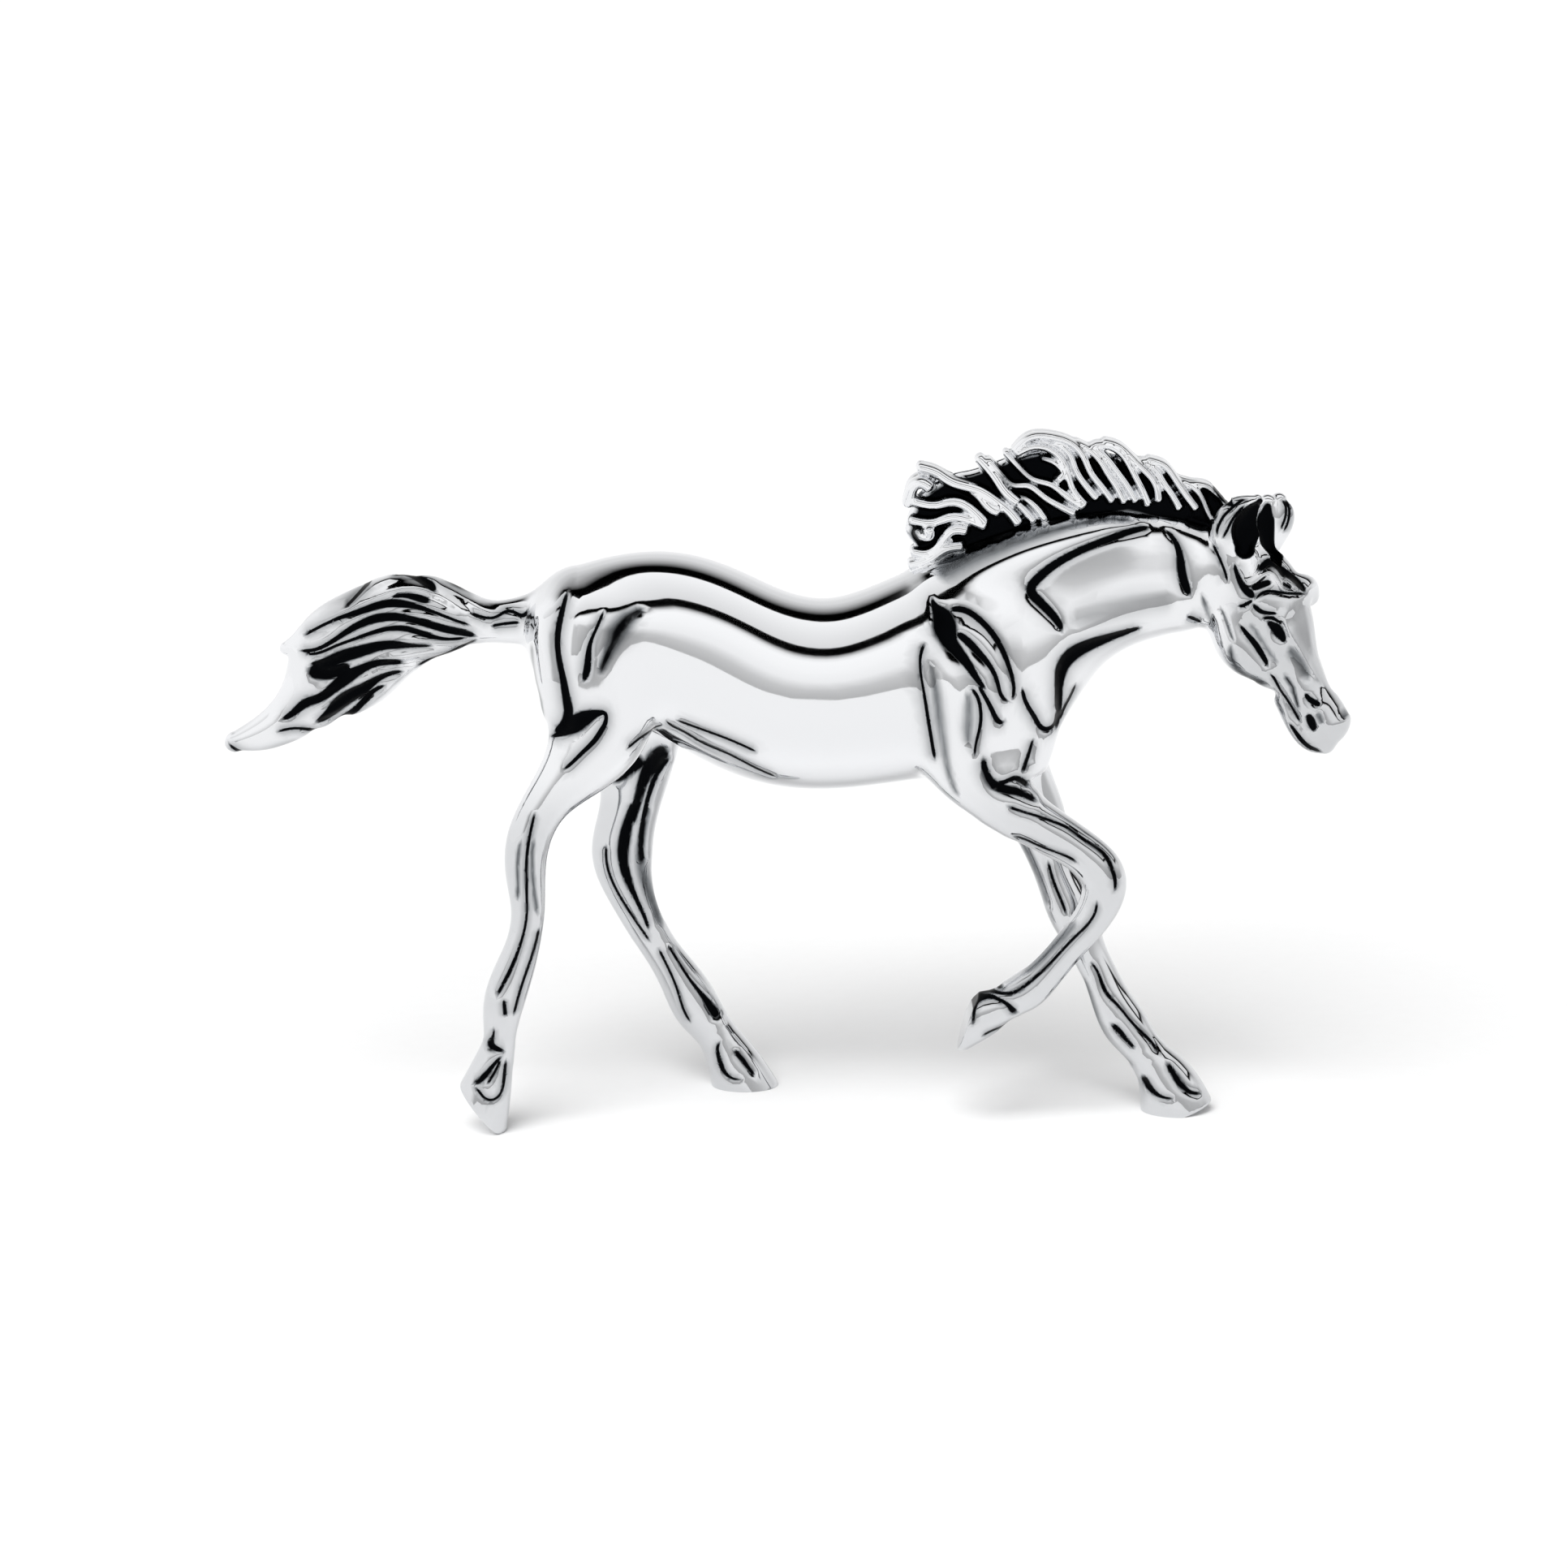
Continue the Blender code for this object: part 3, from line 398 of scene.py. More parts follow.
def mane():
    """A thin crest, and on both its sides the locks that sweep up and back from it."""
    crest = [(14.8, 0, 62.4, 2.6, 1.0), (17.0, 0, 64.6, 4.2, 1.2), (20.4, 0, 65.8, 4.3, 1.35),
             (25.1, 0, 67.5, 4.2, 1.4), (28.6, 0, 68.2, 4.1, 1.4), (34.2, 0, 68.1, 3.5, 1.35),
             (40.3, -0.1, 66.9, 2.6, 1.3), (45.5, -0.4, 65.2, 2.0, 1.3)]
    locks = [
        [(24.4, 64.7), (23.5, 65.8), (22.4, 66.7), (20.4, 68.0), (17.2, 69.0), (15.9, 69.8), (14.2, 70.3)],
        [(22.4, 65.8), (21.3, 66.4), (20.2, 67.5), (18.9, 68.1)],
        [(20.9, 64.7), (19.8, 65.8), (18.7, 66.6), (17.2, 66.8), (16.1, 66.5), (14.8, 66.5), (13.2, 66.9)],
        [(20.9, 64.4), (19.0, 65.1), (17.2, 65.2), (15.9, 64.7), (14.6, 64.6), (13.4, 64.8)],
        [(19.0, 63.9), (17.7, 63.9), (16.6, 62.8), (16.0, 61.9), (14.9, 61.3), (13.6, 61.4)],
        [(15.1, 64.1), (15.2, 63.4), (14.8, 63.1), (14.0, 63.6)],
        [(18.6, 62.2), (17.0, 61.9), (15.6, 60.9), (14.4, 60.3), (13.4, 60.0)],
        [(26.0, 64.9), (24.9, 66.2), (23.6, 67.2), (22.0, 68.2)],
        [(27.2, 65.1), (26.2, 66.4), (25.0, 67.3), (23.8, 67.8)],
        [(15.2, 68.4), (14.2, 68.9), (13.5, 68.4), (13.2, 67.6), (12.9, 66.5)],
        [(24.3, 66.9), (23.0, 68.0), (21.9, 69.5), (20.4, 71.2)],
        [(30.2, 65.8), (28.7, 66.5), (26.9, 67.6), (25.2, 68.6), (23.9, 68.6), (23.0, 69.3), (21.4, 71.0)],
        [(31.0, 66.5), (29.1, 67.8), (27.8, 68.7), (26.0, 69.2), (24.7, 70.2), (23.2, 71.8)],
        [(28.4, 69.2), (29.0, 69.8), (28.4, 70.8), (27.1, 71.3)],
        [(31.3, 66.7), (30.1, 68.2), (29.5, 69.8), (29.0, 71.1), (27.7, 72.3), (26.0, 72.6), (24.4, 71.9)],
        [(32.5, 67.4), (31.2, 68.9), (30.3, 70.4), (29.9, 71.5), (28.6, 72.8), (26.8, 73.4)],
        [(34.1, 67.1), (32.9, 68.7), (31.8, 70.2), (31.2, 71.5), (30.1, 72.8), (27.9, 73.6), (25.5, 73.5),
         (24.1, 72.2)],
        [(35.4, 67.0), (34.5, 68.7), (33.6, 70.0), (32.9, 71.1), (31.8, 72.2), (30.5, 72.9)],
        [(36.6, 67.1), (35.5, 68.9), (34.4, 70.4), (33.5, 71.5), (32.2, 72.5)],
        [(37.9, 66.7), (37.3, 68.2), (36.6, 69.5), (35.9, 70.8), (35.0, 72.0), (33.9, 72.6), (32.6, 72.7)],
        [(39.0, 67.1), (38.8, 68.4), (37.9, 69.8), (36.8, 70.8), (35.7, 71.9), (34.6, 72.7), (33.5, 73.0)],
        [(41.2, 66.3), (40.3, 67.8), (39.4, 69.1), (38.7, 70.2), (37.4, 70.9)],
        [(42.9, 66.3), (41.6, 68.0), (40.7, 69.3), (39.6, 70.6), (38.1, 71.1)],
        [(45.2, 64.4), (44.2, 66.0), (43.4, 67.6), (42.2, 68.6), (40.8, 69.0)],
        [(47.2, 64.0), (46.4, 66.0), (45.4, 67.4), (44.0, 68.4), (42.4, 68.6)],
    ]
    pieces = [Tube(crest, blend=0.8, cap=1.0, is_crest=True)]
    for spots in locks:
        pieces += [lock(spots, side) for side in (-1, 1)]
    return pieces


def lock(spots, side):
    """A fin of hair on one side of the crest, thinner and nearer the middle toward its tip."""
    stations = []
    thick = THICK_LOCK if spots[0][0] < MANE_MIDDLE else FINE_LOCK
    for i, (x, z) in enumerate(spots):
        share = i / (len(spots) - 1)
        stations.append((x, side * (1.45 - 0.75 * share), z, thick - 0.12 * share, 1.45 - 0.60 * share))
    return Tube(stations, blend=0.35, cap=0.4)


def ears():
    """Two cupped ears joined at the rear, with a dark cup in each."""
    return [
        Tube([(46.4, -2.4, 60.6, 1.9, 1.4), (47.0, -2.9, 63.4, 2.6, 1.6), (47.4, -3.1, 65.6, 2.3, 1.3),
              (49.2, -3.0, 67.3, 0.6, 0.6)], blend=0.8),
        Tube([(49.9, 0.4, 60.6, 1.5, 1.3), (51.2, 0.4, 63.6, 1.9, 1.4), (51.9, 0.3, 65.6, 1.6, 1.2),
              (51.8, 0.2, 66.7, 0.9, 0.8)], blend=0.8),
        Tube([(49.6, -0.7, 60.6, 1.6, 1.2), (50.0, -0.6, 63.6, 1.8, 1.2), (50.3, -0.6, 65.6, 1.5, 1.1),
              (50.6, -0.7, 66.7, 0.9, 0.8)], blend=0.8),
        Tube([(47.9, -4.4, 62.4, 0.9, 1.0), (48.2, -4.7, 64.0, 1.7, 1.5), (48.8, -4.4, 65.7, 1.4, 1.3),
              (49.6, -3.9, 67.0, 0.5, 0.6)], blend=0.3, hollow=True),
        Tube([(51.3, -2.7, 60.9, 0.7, 1.2), (50.8, -2.7, 62.4, 1.0, 1.3), (50.5, -2.7, 64.0, 1.2, 1.3),
              (50.4, -2.6, 65.6, 1.1, 1.2), (50.5, -2.4, 66.3, 0.7, 0.9)], blend=0.3, hollow=True),
    ]


def tail_locks():
    """The rounded tops of the tail's wavy locks."""
    half, height = 0.55, 0.45
    tops = [
        [(-28.5, 55.2), (-30.4, 55.0), (-33.3, 56.5), (-36.4, 58.3), (-38.9, 59.0), (-41.3, 58.7),
         (-43.3, 57.8), (-45.3, 56.2), (-48.8, 54.0), (-51.0, 52.5)],
        [(-30.7, 53.7), (-33.3, 55.2), (-36.0, 57.0), (-37.9, 57.7), (-40.1, 57.7), (-42.6, 57.0),
         (-44.8, 55.8), (-47.3, 54.3), (-49.5, 53.2)],
        [(-31.7, 53.4), (-33.6, 54.5), (-36.5, 55.7), (-38.9, 56.3), (-41.4, 56.1), (-43.8, 55.3),
         (-46.3, 53.9), (-48.8, 52.4), (-51.3, 51.6)],
        [(-31.9, 52.9), (-34.1, 53.8), (-36.5, 54.7), (-39.0, 55.1), (-41.4, 54.8), (-43.9, 54.0),
         (-45.9, 52.9), (-47.6, 52.0), (-50.1, 51.0), (-52.3, 50.8)],
        [(-32.9, 52.7), (-35.3, 53.3), (-37.8, 53.7), (-40.2, 53.7), (-42.4, 53.1), (-44.4, 52.3),
         (-46.4, 51.2), (-48.9, 50.2), (-51.3, 50.2)],
        [(-32.2, 52.1), (-34.6, 52.1), (-36.6, 52.2), (-39.0, 52.3), (-41.5, 51.9), (-43.9, 51.2),
         (-45.9, 50.1), (-47.9, 49.5), (-49.9, 49.6)],
        [(-33.4, 51.2), (-36.6, 50.9), (-39.1, 50.7), (-41.0, 50.5), (-43.0, 49.9), (-44.7, 49.0),
         (-46.5, 47.9), (-48.5, 46.9), (-50.5, 45.7)],
        [(-36.6, 50.1), (-39.1, 49.4), (-41.5, 49.0), (-43.5, 48.4), (-45.5, 47.4), (-47.5, 46.2),
         (-49.5, 45.0), (-51.5, 44.0)],
        [(-39.1, 48.7), (-41.6, 47.9), (-43.6, 47.0), (-45.3, 46.2), (-46.8, 45.1), (-49.1, 43.7),
         (-51.5, 42.8)],
        [(-40.3, 48.1), (-42.6, 46.5), (-44.6, 44.9), (-46.6, 43.5), (-48.6, 42.7), (-51.1, 42.0)],
        [(-32.7, 51.4), (-36.6, 50.2), (-39.4, 48.7), (-41.6, 46.9), (-44.1, 44.7), (-46.4, 42.9),
         (-48.4, 41.9), (-50.9, 41.2)],
    ]
    return [Ridge([(x, z, half) for x, z in top], height) for top in tops]


def neck_lines():
    """The chevron behind the jaw, and the lobes and black wedge at the withers."""
    # A soft band of painted shade, in a shallow groove.
    lines = grooves(
        [(29.5, 54.6, 0.6), (33, 55.6, 0.9), (37, 56.6, 0.9), (41, 57, 0.7)],
        soft=0.22)
    lines += grooves(
        [(38.6, 64.3, 0.18), (36.6, 64, 0.31), (33.8, 63.2, 0.38), (31.2, 62.2, 0.4), (28.6, 60.9, 0.44),
         (26.6, 59.4, 0.49), (25.7, 58.1, 0.53), (26.6, 56.9, 0.49), (27.9, 55.6, 0.44), (28.8, 54.3, 0.31),
         (29, 53.4, 0.13)],
        [(39.4, 64.3), (40.7, 63, 0.26), (41.3, 61.2, 0.4), (41.6, 59.2, 0.49), (42, 58.1, 0.4),
         (42.6, 57, 0.18)],
        [(15.3, 57.9, 0.18), (15.6, 56.7, 0.35), (16.3, 55.7, 1.02), (16.7, 54.6, 1.28), (17.1, 53.4, 0.93),
         (18.2, 52, 0.62), (19.3, 50.6, 0.44), (20.3, 49.1, 0.29), (21.2, 48.1, 0.15)],
        [(16.7, 56.2, 0.26), (18.6, 56.3, 0.31), (20.1, 55.5, 0.31), (21.6, 54, 0.31), (22.7, 52.2, 0.29),
         (23.6, 49.8, 0.22), (23.9, 47.9, 0.18), (23.6, 46.6)],
        [(17.4, 54.3, 0.18), (18.6, 53.6, 0.4), (19.9, 52.4, 0.4), (21, 51.2, 0.31), (22.1, 49.2, 0.22),
         (23, 47.1, 0.18), (23.8, 46.8)],
        [(19.9, 49.2, 0.18), (20.8, 47.7, 0.22), (21.7, 45.9, 0.26), (22.6, 44.7, 0.26), (23.4, 45)],
        [(24.7, 48.7), (25.1, 46.9, 0.22), (26.2, 44.8, 0.26), (27.4, 43.4, 0.26), (28.2, 43.6, 0.22),
         (28.4, 45.7, 0.18)],
        [(37.7, 54.1, 0.18), (35.7, 53.5, 0.35), (33.5, 52.8, 0.57), (31.5, 52.1, 0.75), (30, 51.3, 0.84),
         (29.1, 50.2, 0.75), (28.8, 48.7, 0.57), (28.7, 46.8, 0.4), (28.7, 44.7, 0.31)],
        [(29, 50.5, 0.18), (28.9, 48.7, 0.26), (28.9, 46.3, 0.31), (28.8, 44.4, 0.31), (28.5, 42.7, 0.18)],
        [(30.7, 48.2), (30.1, 46.6, 0.18), (29.4, 45.1, 0.18), (29, 43.6)],
        [(42, 55.2), (43, 54.7, 0.18), (43.8, 54.2)])
    # A soft band of painted shade under the mane's root, in a shallow groove.
    lines += grooves(
        [(15.6, 59.2, 0.44), (17, 60, 0.79), (19, 61, 0.79), (21.8, 62.1, 0.66), (24.8, 63.1, 0.49),
         (28.2, 64, 0.35), (31.2, 64.7, 0.26), (34.5, 65.1, 0.22), (36.9, 64.8, 0.13)],
        soft=0.6)
    lines += ridges(
        [(17.6, 55, 0.9), (19.6, 54.2, 1), (21.2, 52.4, 1), (22.4, 50.2, 0.9), (23.1, 47.8, 0.6)],
        height=0.34)
    lines += ridges(
        [(17.8, 53, 0.7), (19, 51.4, 0.9), (20.6, 49.3, 0.9), (21.7, 47.2, 0.8), (22.4, 45.6, 0.5)],
        height=0.32)
    return lines


def shoulder_lines():
    """The shoulder blade's rear ridge and the hollows in front of it."""
    lines = grooves(
        [(14.8, 53.4, 0.22), (14.3, 52.4, 0.18), (14.1, 50.9), (14.4, 48.7), (14.8, 46.3, 0.18),
         (15.4, 42.7, 0.18), (15.8, 40.4, 0.18)],
        [(19.1, 48.9), (20, 47.7, 0.18), (20.4, 46.3, 0.18), (20.4, 44.5, 0.18), (20, 42.8), (19.8, 40.9)])
    # Soft bands of painted shade, in shallow grooves.
    lines += grooves(
        [(15, 51.6, 0.13), (15.6, 49.1, 0.35), (15.9, 46.9, 0.44), (16.2, 44.6, 0.44), (16.6, 42.4, 0.35),
         (17, 40.2, 0.26), (17.7, 37.9, 0.22), (18.4, 36.4, 0.13)],
        [(18.8, 48.7, 0.13), (19.1, 47.4, 0.31), (19.2, 45.7, 0.49), (19.1, 43.9, 0.44), (19.3, 41.9, 0.22)],
        soft=0.5)
    lines += ridges(
        [(16.1, 52.3, 1), (17.5, 49, 1.2), (18.2, 45, 1.2), (18.3, 40.8, 1), (19, 38, 0.7)],
        height=0.28)
    return lines


def near_fore_lines():
    """The elbow and the cords of the raised right foreleg."""
    lines = grooves(
        [(20.7, 41.7, 0.18), (20.8, 40.6, 0.35), (21.2, 39.1, 0.49), (21.8, 38.3, 0.57), (22.7, 37.8, 0.53),
         (24.2, 37.4, 0.44), (25.5, 36.8, 0.31), (26.9, 36, 0.18)],
        [(21.7, 38.5, 0.2), (22.9, 38.4, 0.26), (24.1, 38.7, 0.3), (25, 38.2, 0.3), (25.9, 37.4, 0.2)],
        [(26.2, 42.8, 0.14), (25.6, 40.9, 0.22), (24.8, 38.8, 0.32)],
        [(22.9, 36.2, 0.18), (24, 35.7, 0.18), (25.7, 35.1), (28, 34.2), (29.7, 33.4), (31.2, 32.3, 0.18),
         (32.8, 31.2, 0.2), (33.9, 30.1, 0.24), (34.5, 28.8, 0.26), (34.8, 27.5, 0.2), (34.6, 26.1)],
        [(23.6, 32.7), (25.4, 32.1), (27.2, 31.3), (28.9, 30.7), (30.2, 30.1, 0.18), (31.1, 29.4)],
        [(32.9, 26), (32.8, 24.5), (32.2, 23.2), (31, 21.8), (29, 19.5), (27.6, 17.9, 0.18),
         (25.8, 16.3, 0.2), (24.3, 15.3, 0.2), (22.5, 15.1), (21, 14.9), (20.1, 13.7)],
        [(20, 11.5), (20.1, 13, 0.18), (20.5, 14.2, 0.2), (21.5, 14.7, 0.23), (22.8, 14.5, 0.2),
         (23.8, 13.9, 0.28), (24.7, 13, 0.36), (25.3, 12.9)],
        [(25, 12.3), (23.4, 11.4), (21.8, 10.9, 0.18), (20.7, 10.2)],
        [(20, 13.4), (21.1, 15.2, 0.18), (22.6, 15.6, 0.25), (23.8, 15.7)],
        thin=THIN_LINE, across=NEAR, dark=LEG_DARK)
    # A soft band of painted shade, in a shallow groove.
    lines += grooves(
        [(25.1, 16.9, 0.15), (26.8, 18.3, 0.3), (28.5, 20.2, 0.41), (30, 21.9, 0.36), (31.2, 23.5, 0.2)],
        across=NEAR, soft=0.5)
    return lines


def far_fore_lines():
    """The standing left foreleg and its hoof."""
    lines = grooves(
        [(28.3, 27.5), (29.1, 24.7, 0.18), (30.1, 22.3, 0.18), (30.6, 20.9)],
        thin=THIN_LINE, across=FAR, dark=LEG_DARK)
    lines += grooves(
        [(32.7, 16.7), (33.7, 15.5), (34.7, 13.2, 0.25), (35.8, 12, 0.18), (37.8, 9.7), (39.9, 7.5, 0.18),
         (40.6, 6.3)],
        [(35, 10.1), (36, 9.2, 0.36), (37.1, 8, 0.25), (38.1, 7)],
        [(40.9, 6.2, 0.2), (41.9, 4.8, 0.36), (42.7, 3.6, 0.41), (43.7, 2.7, 0.25), (45.6, 2.2)],
        [(38.6, 4.7, 0.25), (39.2, 3.4, 0.41), (39.9, 2.6, 0.36), (40.7, 2.2, 0.2), (42.4, 2.1)],
        thin=THIN_LINE, dark=LEG_DARK)
    # A soft band of painted shade, in a shallow groove.
    lines += grooves(
        [(25.1, 30.3, 0.2), (26.4, 27.7, 0.36), (27.7, 24.8, 0.3), (28.7, 21.6, 0.2)],
        across=FAR, soft=0.5)
    # A soft band of painted shade, in a shallow groove.
    lines += grooves(
        [(32.1, 15, 0.15), (32.9, 12.9, 0.3), (33.7, 10.2, 0.41), (34.8, 7.5, 0.46), (36.4, 5.9, 0.36),
         (38.2, 4.8, 0.2)],
        soft=0.5)
    return lines


def near_hind_lines():
    """The cords, coronet and hoof of the right hind leg."""
    lines = grooves(
        [(-25.9, 35.7), (-26.5, 33.2, 0.17), (-26.9, 30.7, 0.19), (-27, 28.5, 0.19), (-27, 26, 0.17),
         (-27.1, 23.7), (-28, 20.3, 0.19), (-29, 17.9, 0.24), (-30, 16, 0.19), (-30.5, 15)],
        [(-25.7, 23.1), (-26.4, 20.2, 0.17), (-27.3, 17.6, 0.17), (-28.1, 15.1, 0.17), (-28.7, 12.8)],
        [(-29.5, 15.3), (-29.5, 14.3, 0.24), (-29.4, 13.1, 0.24)],
        [(-30.7, 12.2), (-30.8, 10.9, 0.19), (-31, 9.9, 0.49), (-30.2, 9.5, 0.29), (-29.3, 9.1, 0.19)],
        [(-29.6, 9.1, 0.19), (-30.8, 7.8, 0.24), (-31.6, 6.8, 0.34), (-32.5, 6, 0.29), (-33.4, 5.6)],
        [(-33.3, 5.6), (-32.4, 5.1, 0.17), (-31.9, 4.5), (-31.1, 4.1), (-30.3, 4.4), (-29.8, 5.6, 0.19),
         (-29.6, 7.3, 0.19), (-29.4, 8.8)],
        [(-29.9, 8.6), (-30.7, 7), (-31.6, 5.6)],
        thin=THIN_LINE, across=NEAR, dark=LEG_DARK)
    # Soft bands of painted shade, in shallow grooves.
    lines += grooves(
        [(-27.4, 32.7, 0.2), (-27.9, 29.8, 0.2), (-27.9, 27.3, 0.2), (-28.1, 25.2, 0.2)],
        [(-26.1, 32.9, 0.2), (-26.4, 30.2, 0.2), (-26.3, 27.7, 0.2), (-26.1, 25.2, 0.2), (-25.8, 23.7, 0.2)],
        across=NEAR, soft=0.6)
    return lines


def far_hind_lines():
    """The cords and hoof of the left hind leg."""
    lines = grooves(
        [(-15.9, 33.8, 0.34), (-16.7, 31.3, 0.58), (-17.3, 28.6, 0.73), (-17.4, 26.2, 0.63),
         (-16.9, 24.1, 0.49), (-16.1, 22, 0.29), (-15.3, 20.1, 0.24), (-14.6, 17.9)],
        [(-19.2, 28.6), (-19.2, 26, 0.17), (-18.4, 23.4, 0.17), (-16.6, 20.1, 0.17), (-14.4, 16.6)],
        [(-12.9, 16.9), (-11.4, 14.3), (-9.9, 12, 0.19), (-8.7, 10.4, 0.34), (-7.7, 8.8, 0.49),
         (-7, 7.5, 0.29)],
        [(-13.9, 16.6), (-12.7, 14), (-11.7, 11.5), (-10.9, 8.9), (-10, 7.3)],
        [(-6.7, 6), (-7.3, 4.9, 0.19), (-7.1, 3.5, 0.29), (-6.6, 2.2, 0.29), (-5.7, 1.5), (-4.2, 1.5)],
        [(-5.8, 4.9, 0.19), (-5, 4, 0.29), (-4, 2.7, 0.24), (-3, 1.3, 0.19)],
        [(-11.9, 39.4, 0.46), (-13.1, 38.8, 1.07), (-14.2, 37.4, 1.07), (-15.1, 35.7, 0.7),
         (-15.6, 33.9, 0.56), (-16.2, 31.8, 0.51), (-16.7, 30.1, 0.46)],
        [(-14.7, 38.7, 0.93), (-16.1, 37.7, 1.02), (-17.7, 36.3, 0.79), (-19, 35.2, 0.28)],
        [(-11.9, 38.5, 0.23), (-13.1, 37.2, 0.32), (-14, 35.6, 0.32), (-14.8, 33, 0.28), (-15.3, 30.5, 0.28),
         (-15.5, 27.9, 0.32), (-15.3, 25.3, 0.37)],
        thin=THIN_LINE, across=FAR, dark=LEG_DARK)
    # A soft band of painted shade, in a shallow groove.
    lines += grooves(
        [(-14.4, 33.1, 0.24), (-15.2, 29.9, 0.39), (-15.6, 27.3, 0.49), (-15.3, 24.5, 0.53),
         (-14.6, 22.1, 0.53), (-13.9, 20, 0.34), (-13.1, 18.1, 0.15)],
        across=FAR, soft=0.6)
    return lines


def hindquarter_lines():
    """The grooves of the rump, stifle and flank, and the folds under the belly."""
    lines = grooves(
        [(-22.4, 58.4), (-22.8, 57, 0.23), (-23.3, 55, 0.32), (-23.5, 53.2, 0.32), (-23.3, 51.2, 0.32),
         (-22.9, 49.2, 0.37), (-22.6, 47.4, 0.46), (-22.4, 46.1, 0.51), (-22.6, 44.9, 0.56),
         (-23.3, 43.9, 0.51), (-24.3, 43.1, 0.23)],
        [(-24.8, 42.8), (-23.3, 43.5, 0.32), (-21.9, 44.5, 0.88), (-20.6, 45.4, 0.83), (-19.4, 45.9, 0.42),
         (-18.6, 45.9, 0.21), (-18.5, 45.1, 0.23), (-18.9, 44.2, 0.28), (-19.7, 43, 0.28),
         (-20.8, 41.9, 0.23), (-22.2, 40.5, 0.19), (-23.3, 39.6)],
        [(-18.5, 56.8), (-19.1, 55.4, 0.16), (-19.6, 54.3, 0.16), (-20.1, 53, 0.23), (-20.3, 51.4, 0.37),
         (-20.5, 50.1, 0.37), (-21, 48.8)],
        [(-12.5, 44.8), (-12.1, 44.1), (-10.5, 43.2), (-8.9, 42.2), (-5.9, 40.9), (-3.2, 39.4), (-0.5, 38)],
        [(-11.6, 44.7), (-8.9, 43.8), (-5.5, 42.6), (-2.5, 41.2)],
        [(-12.5, 43.9), (-13.5, 43.5), (-14.8, 43), (-16.6, 41.7)])
    # A soft band of painted shade, in a shallow groove.
    lines += grooves(
        [(-14, 56.7), (-15.3, 56.2, 0.46), (-16.4, 55.4, 0.74), (-17.3, 54.1, 0.83), (-18, 52.6, 0.56),
         (-18.7, 51, 0.37), (-19.3, 49.5)],
        soft=0.75)
    # A soft band of painted shade, in a shallow groove.
    lines += grooves(
        [(-26.3, 52.8, 0.12), (-26.3, 50.9, 0.16), (-26, 48.9), (-25.4, 46.6, 0.12), (-25.1, 44, 0.09)],
        soft=0.5)
    lines += ridges(
        [(-25, 57, 1.2), (-25.6, 53, 1.4), (-25, 49, 1.4), (-24.2, 46, 1)],
        [(-20.8, 58, 0.9), (-21.7, 55, 1), (-22, 52, 1), (-21.8, 49, 0.8)],
        height=0.4)
    return lines


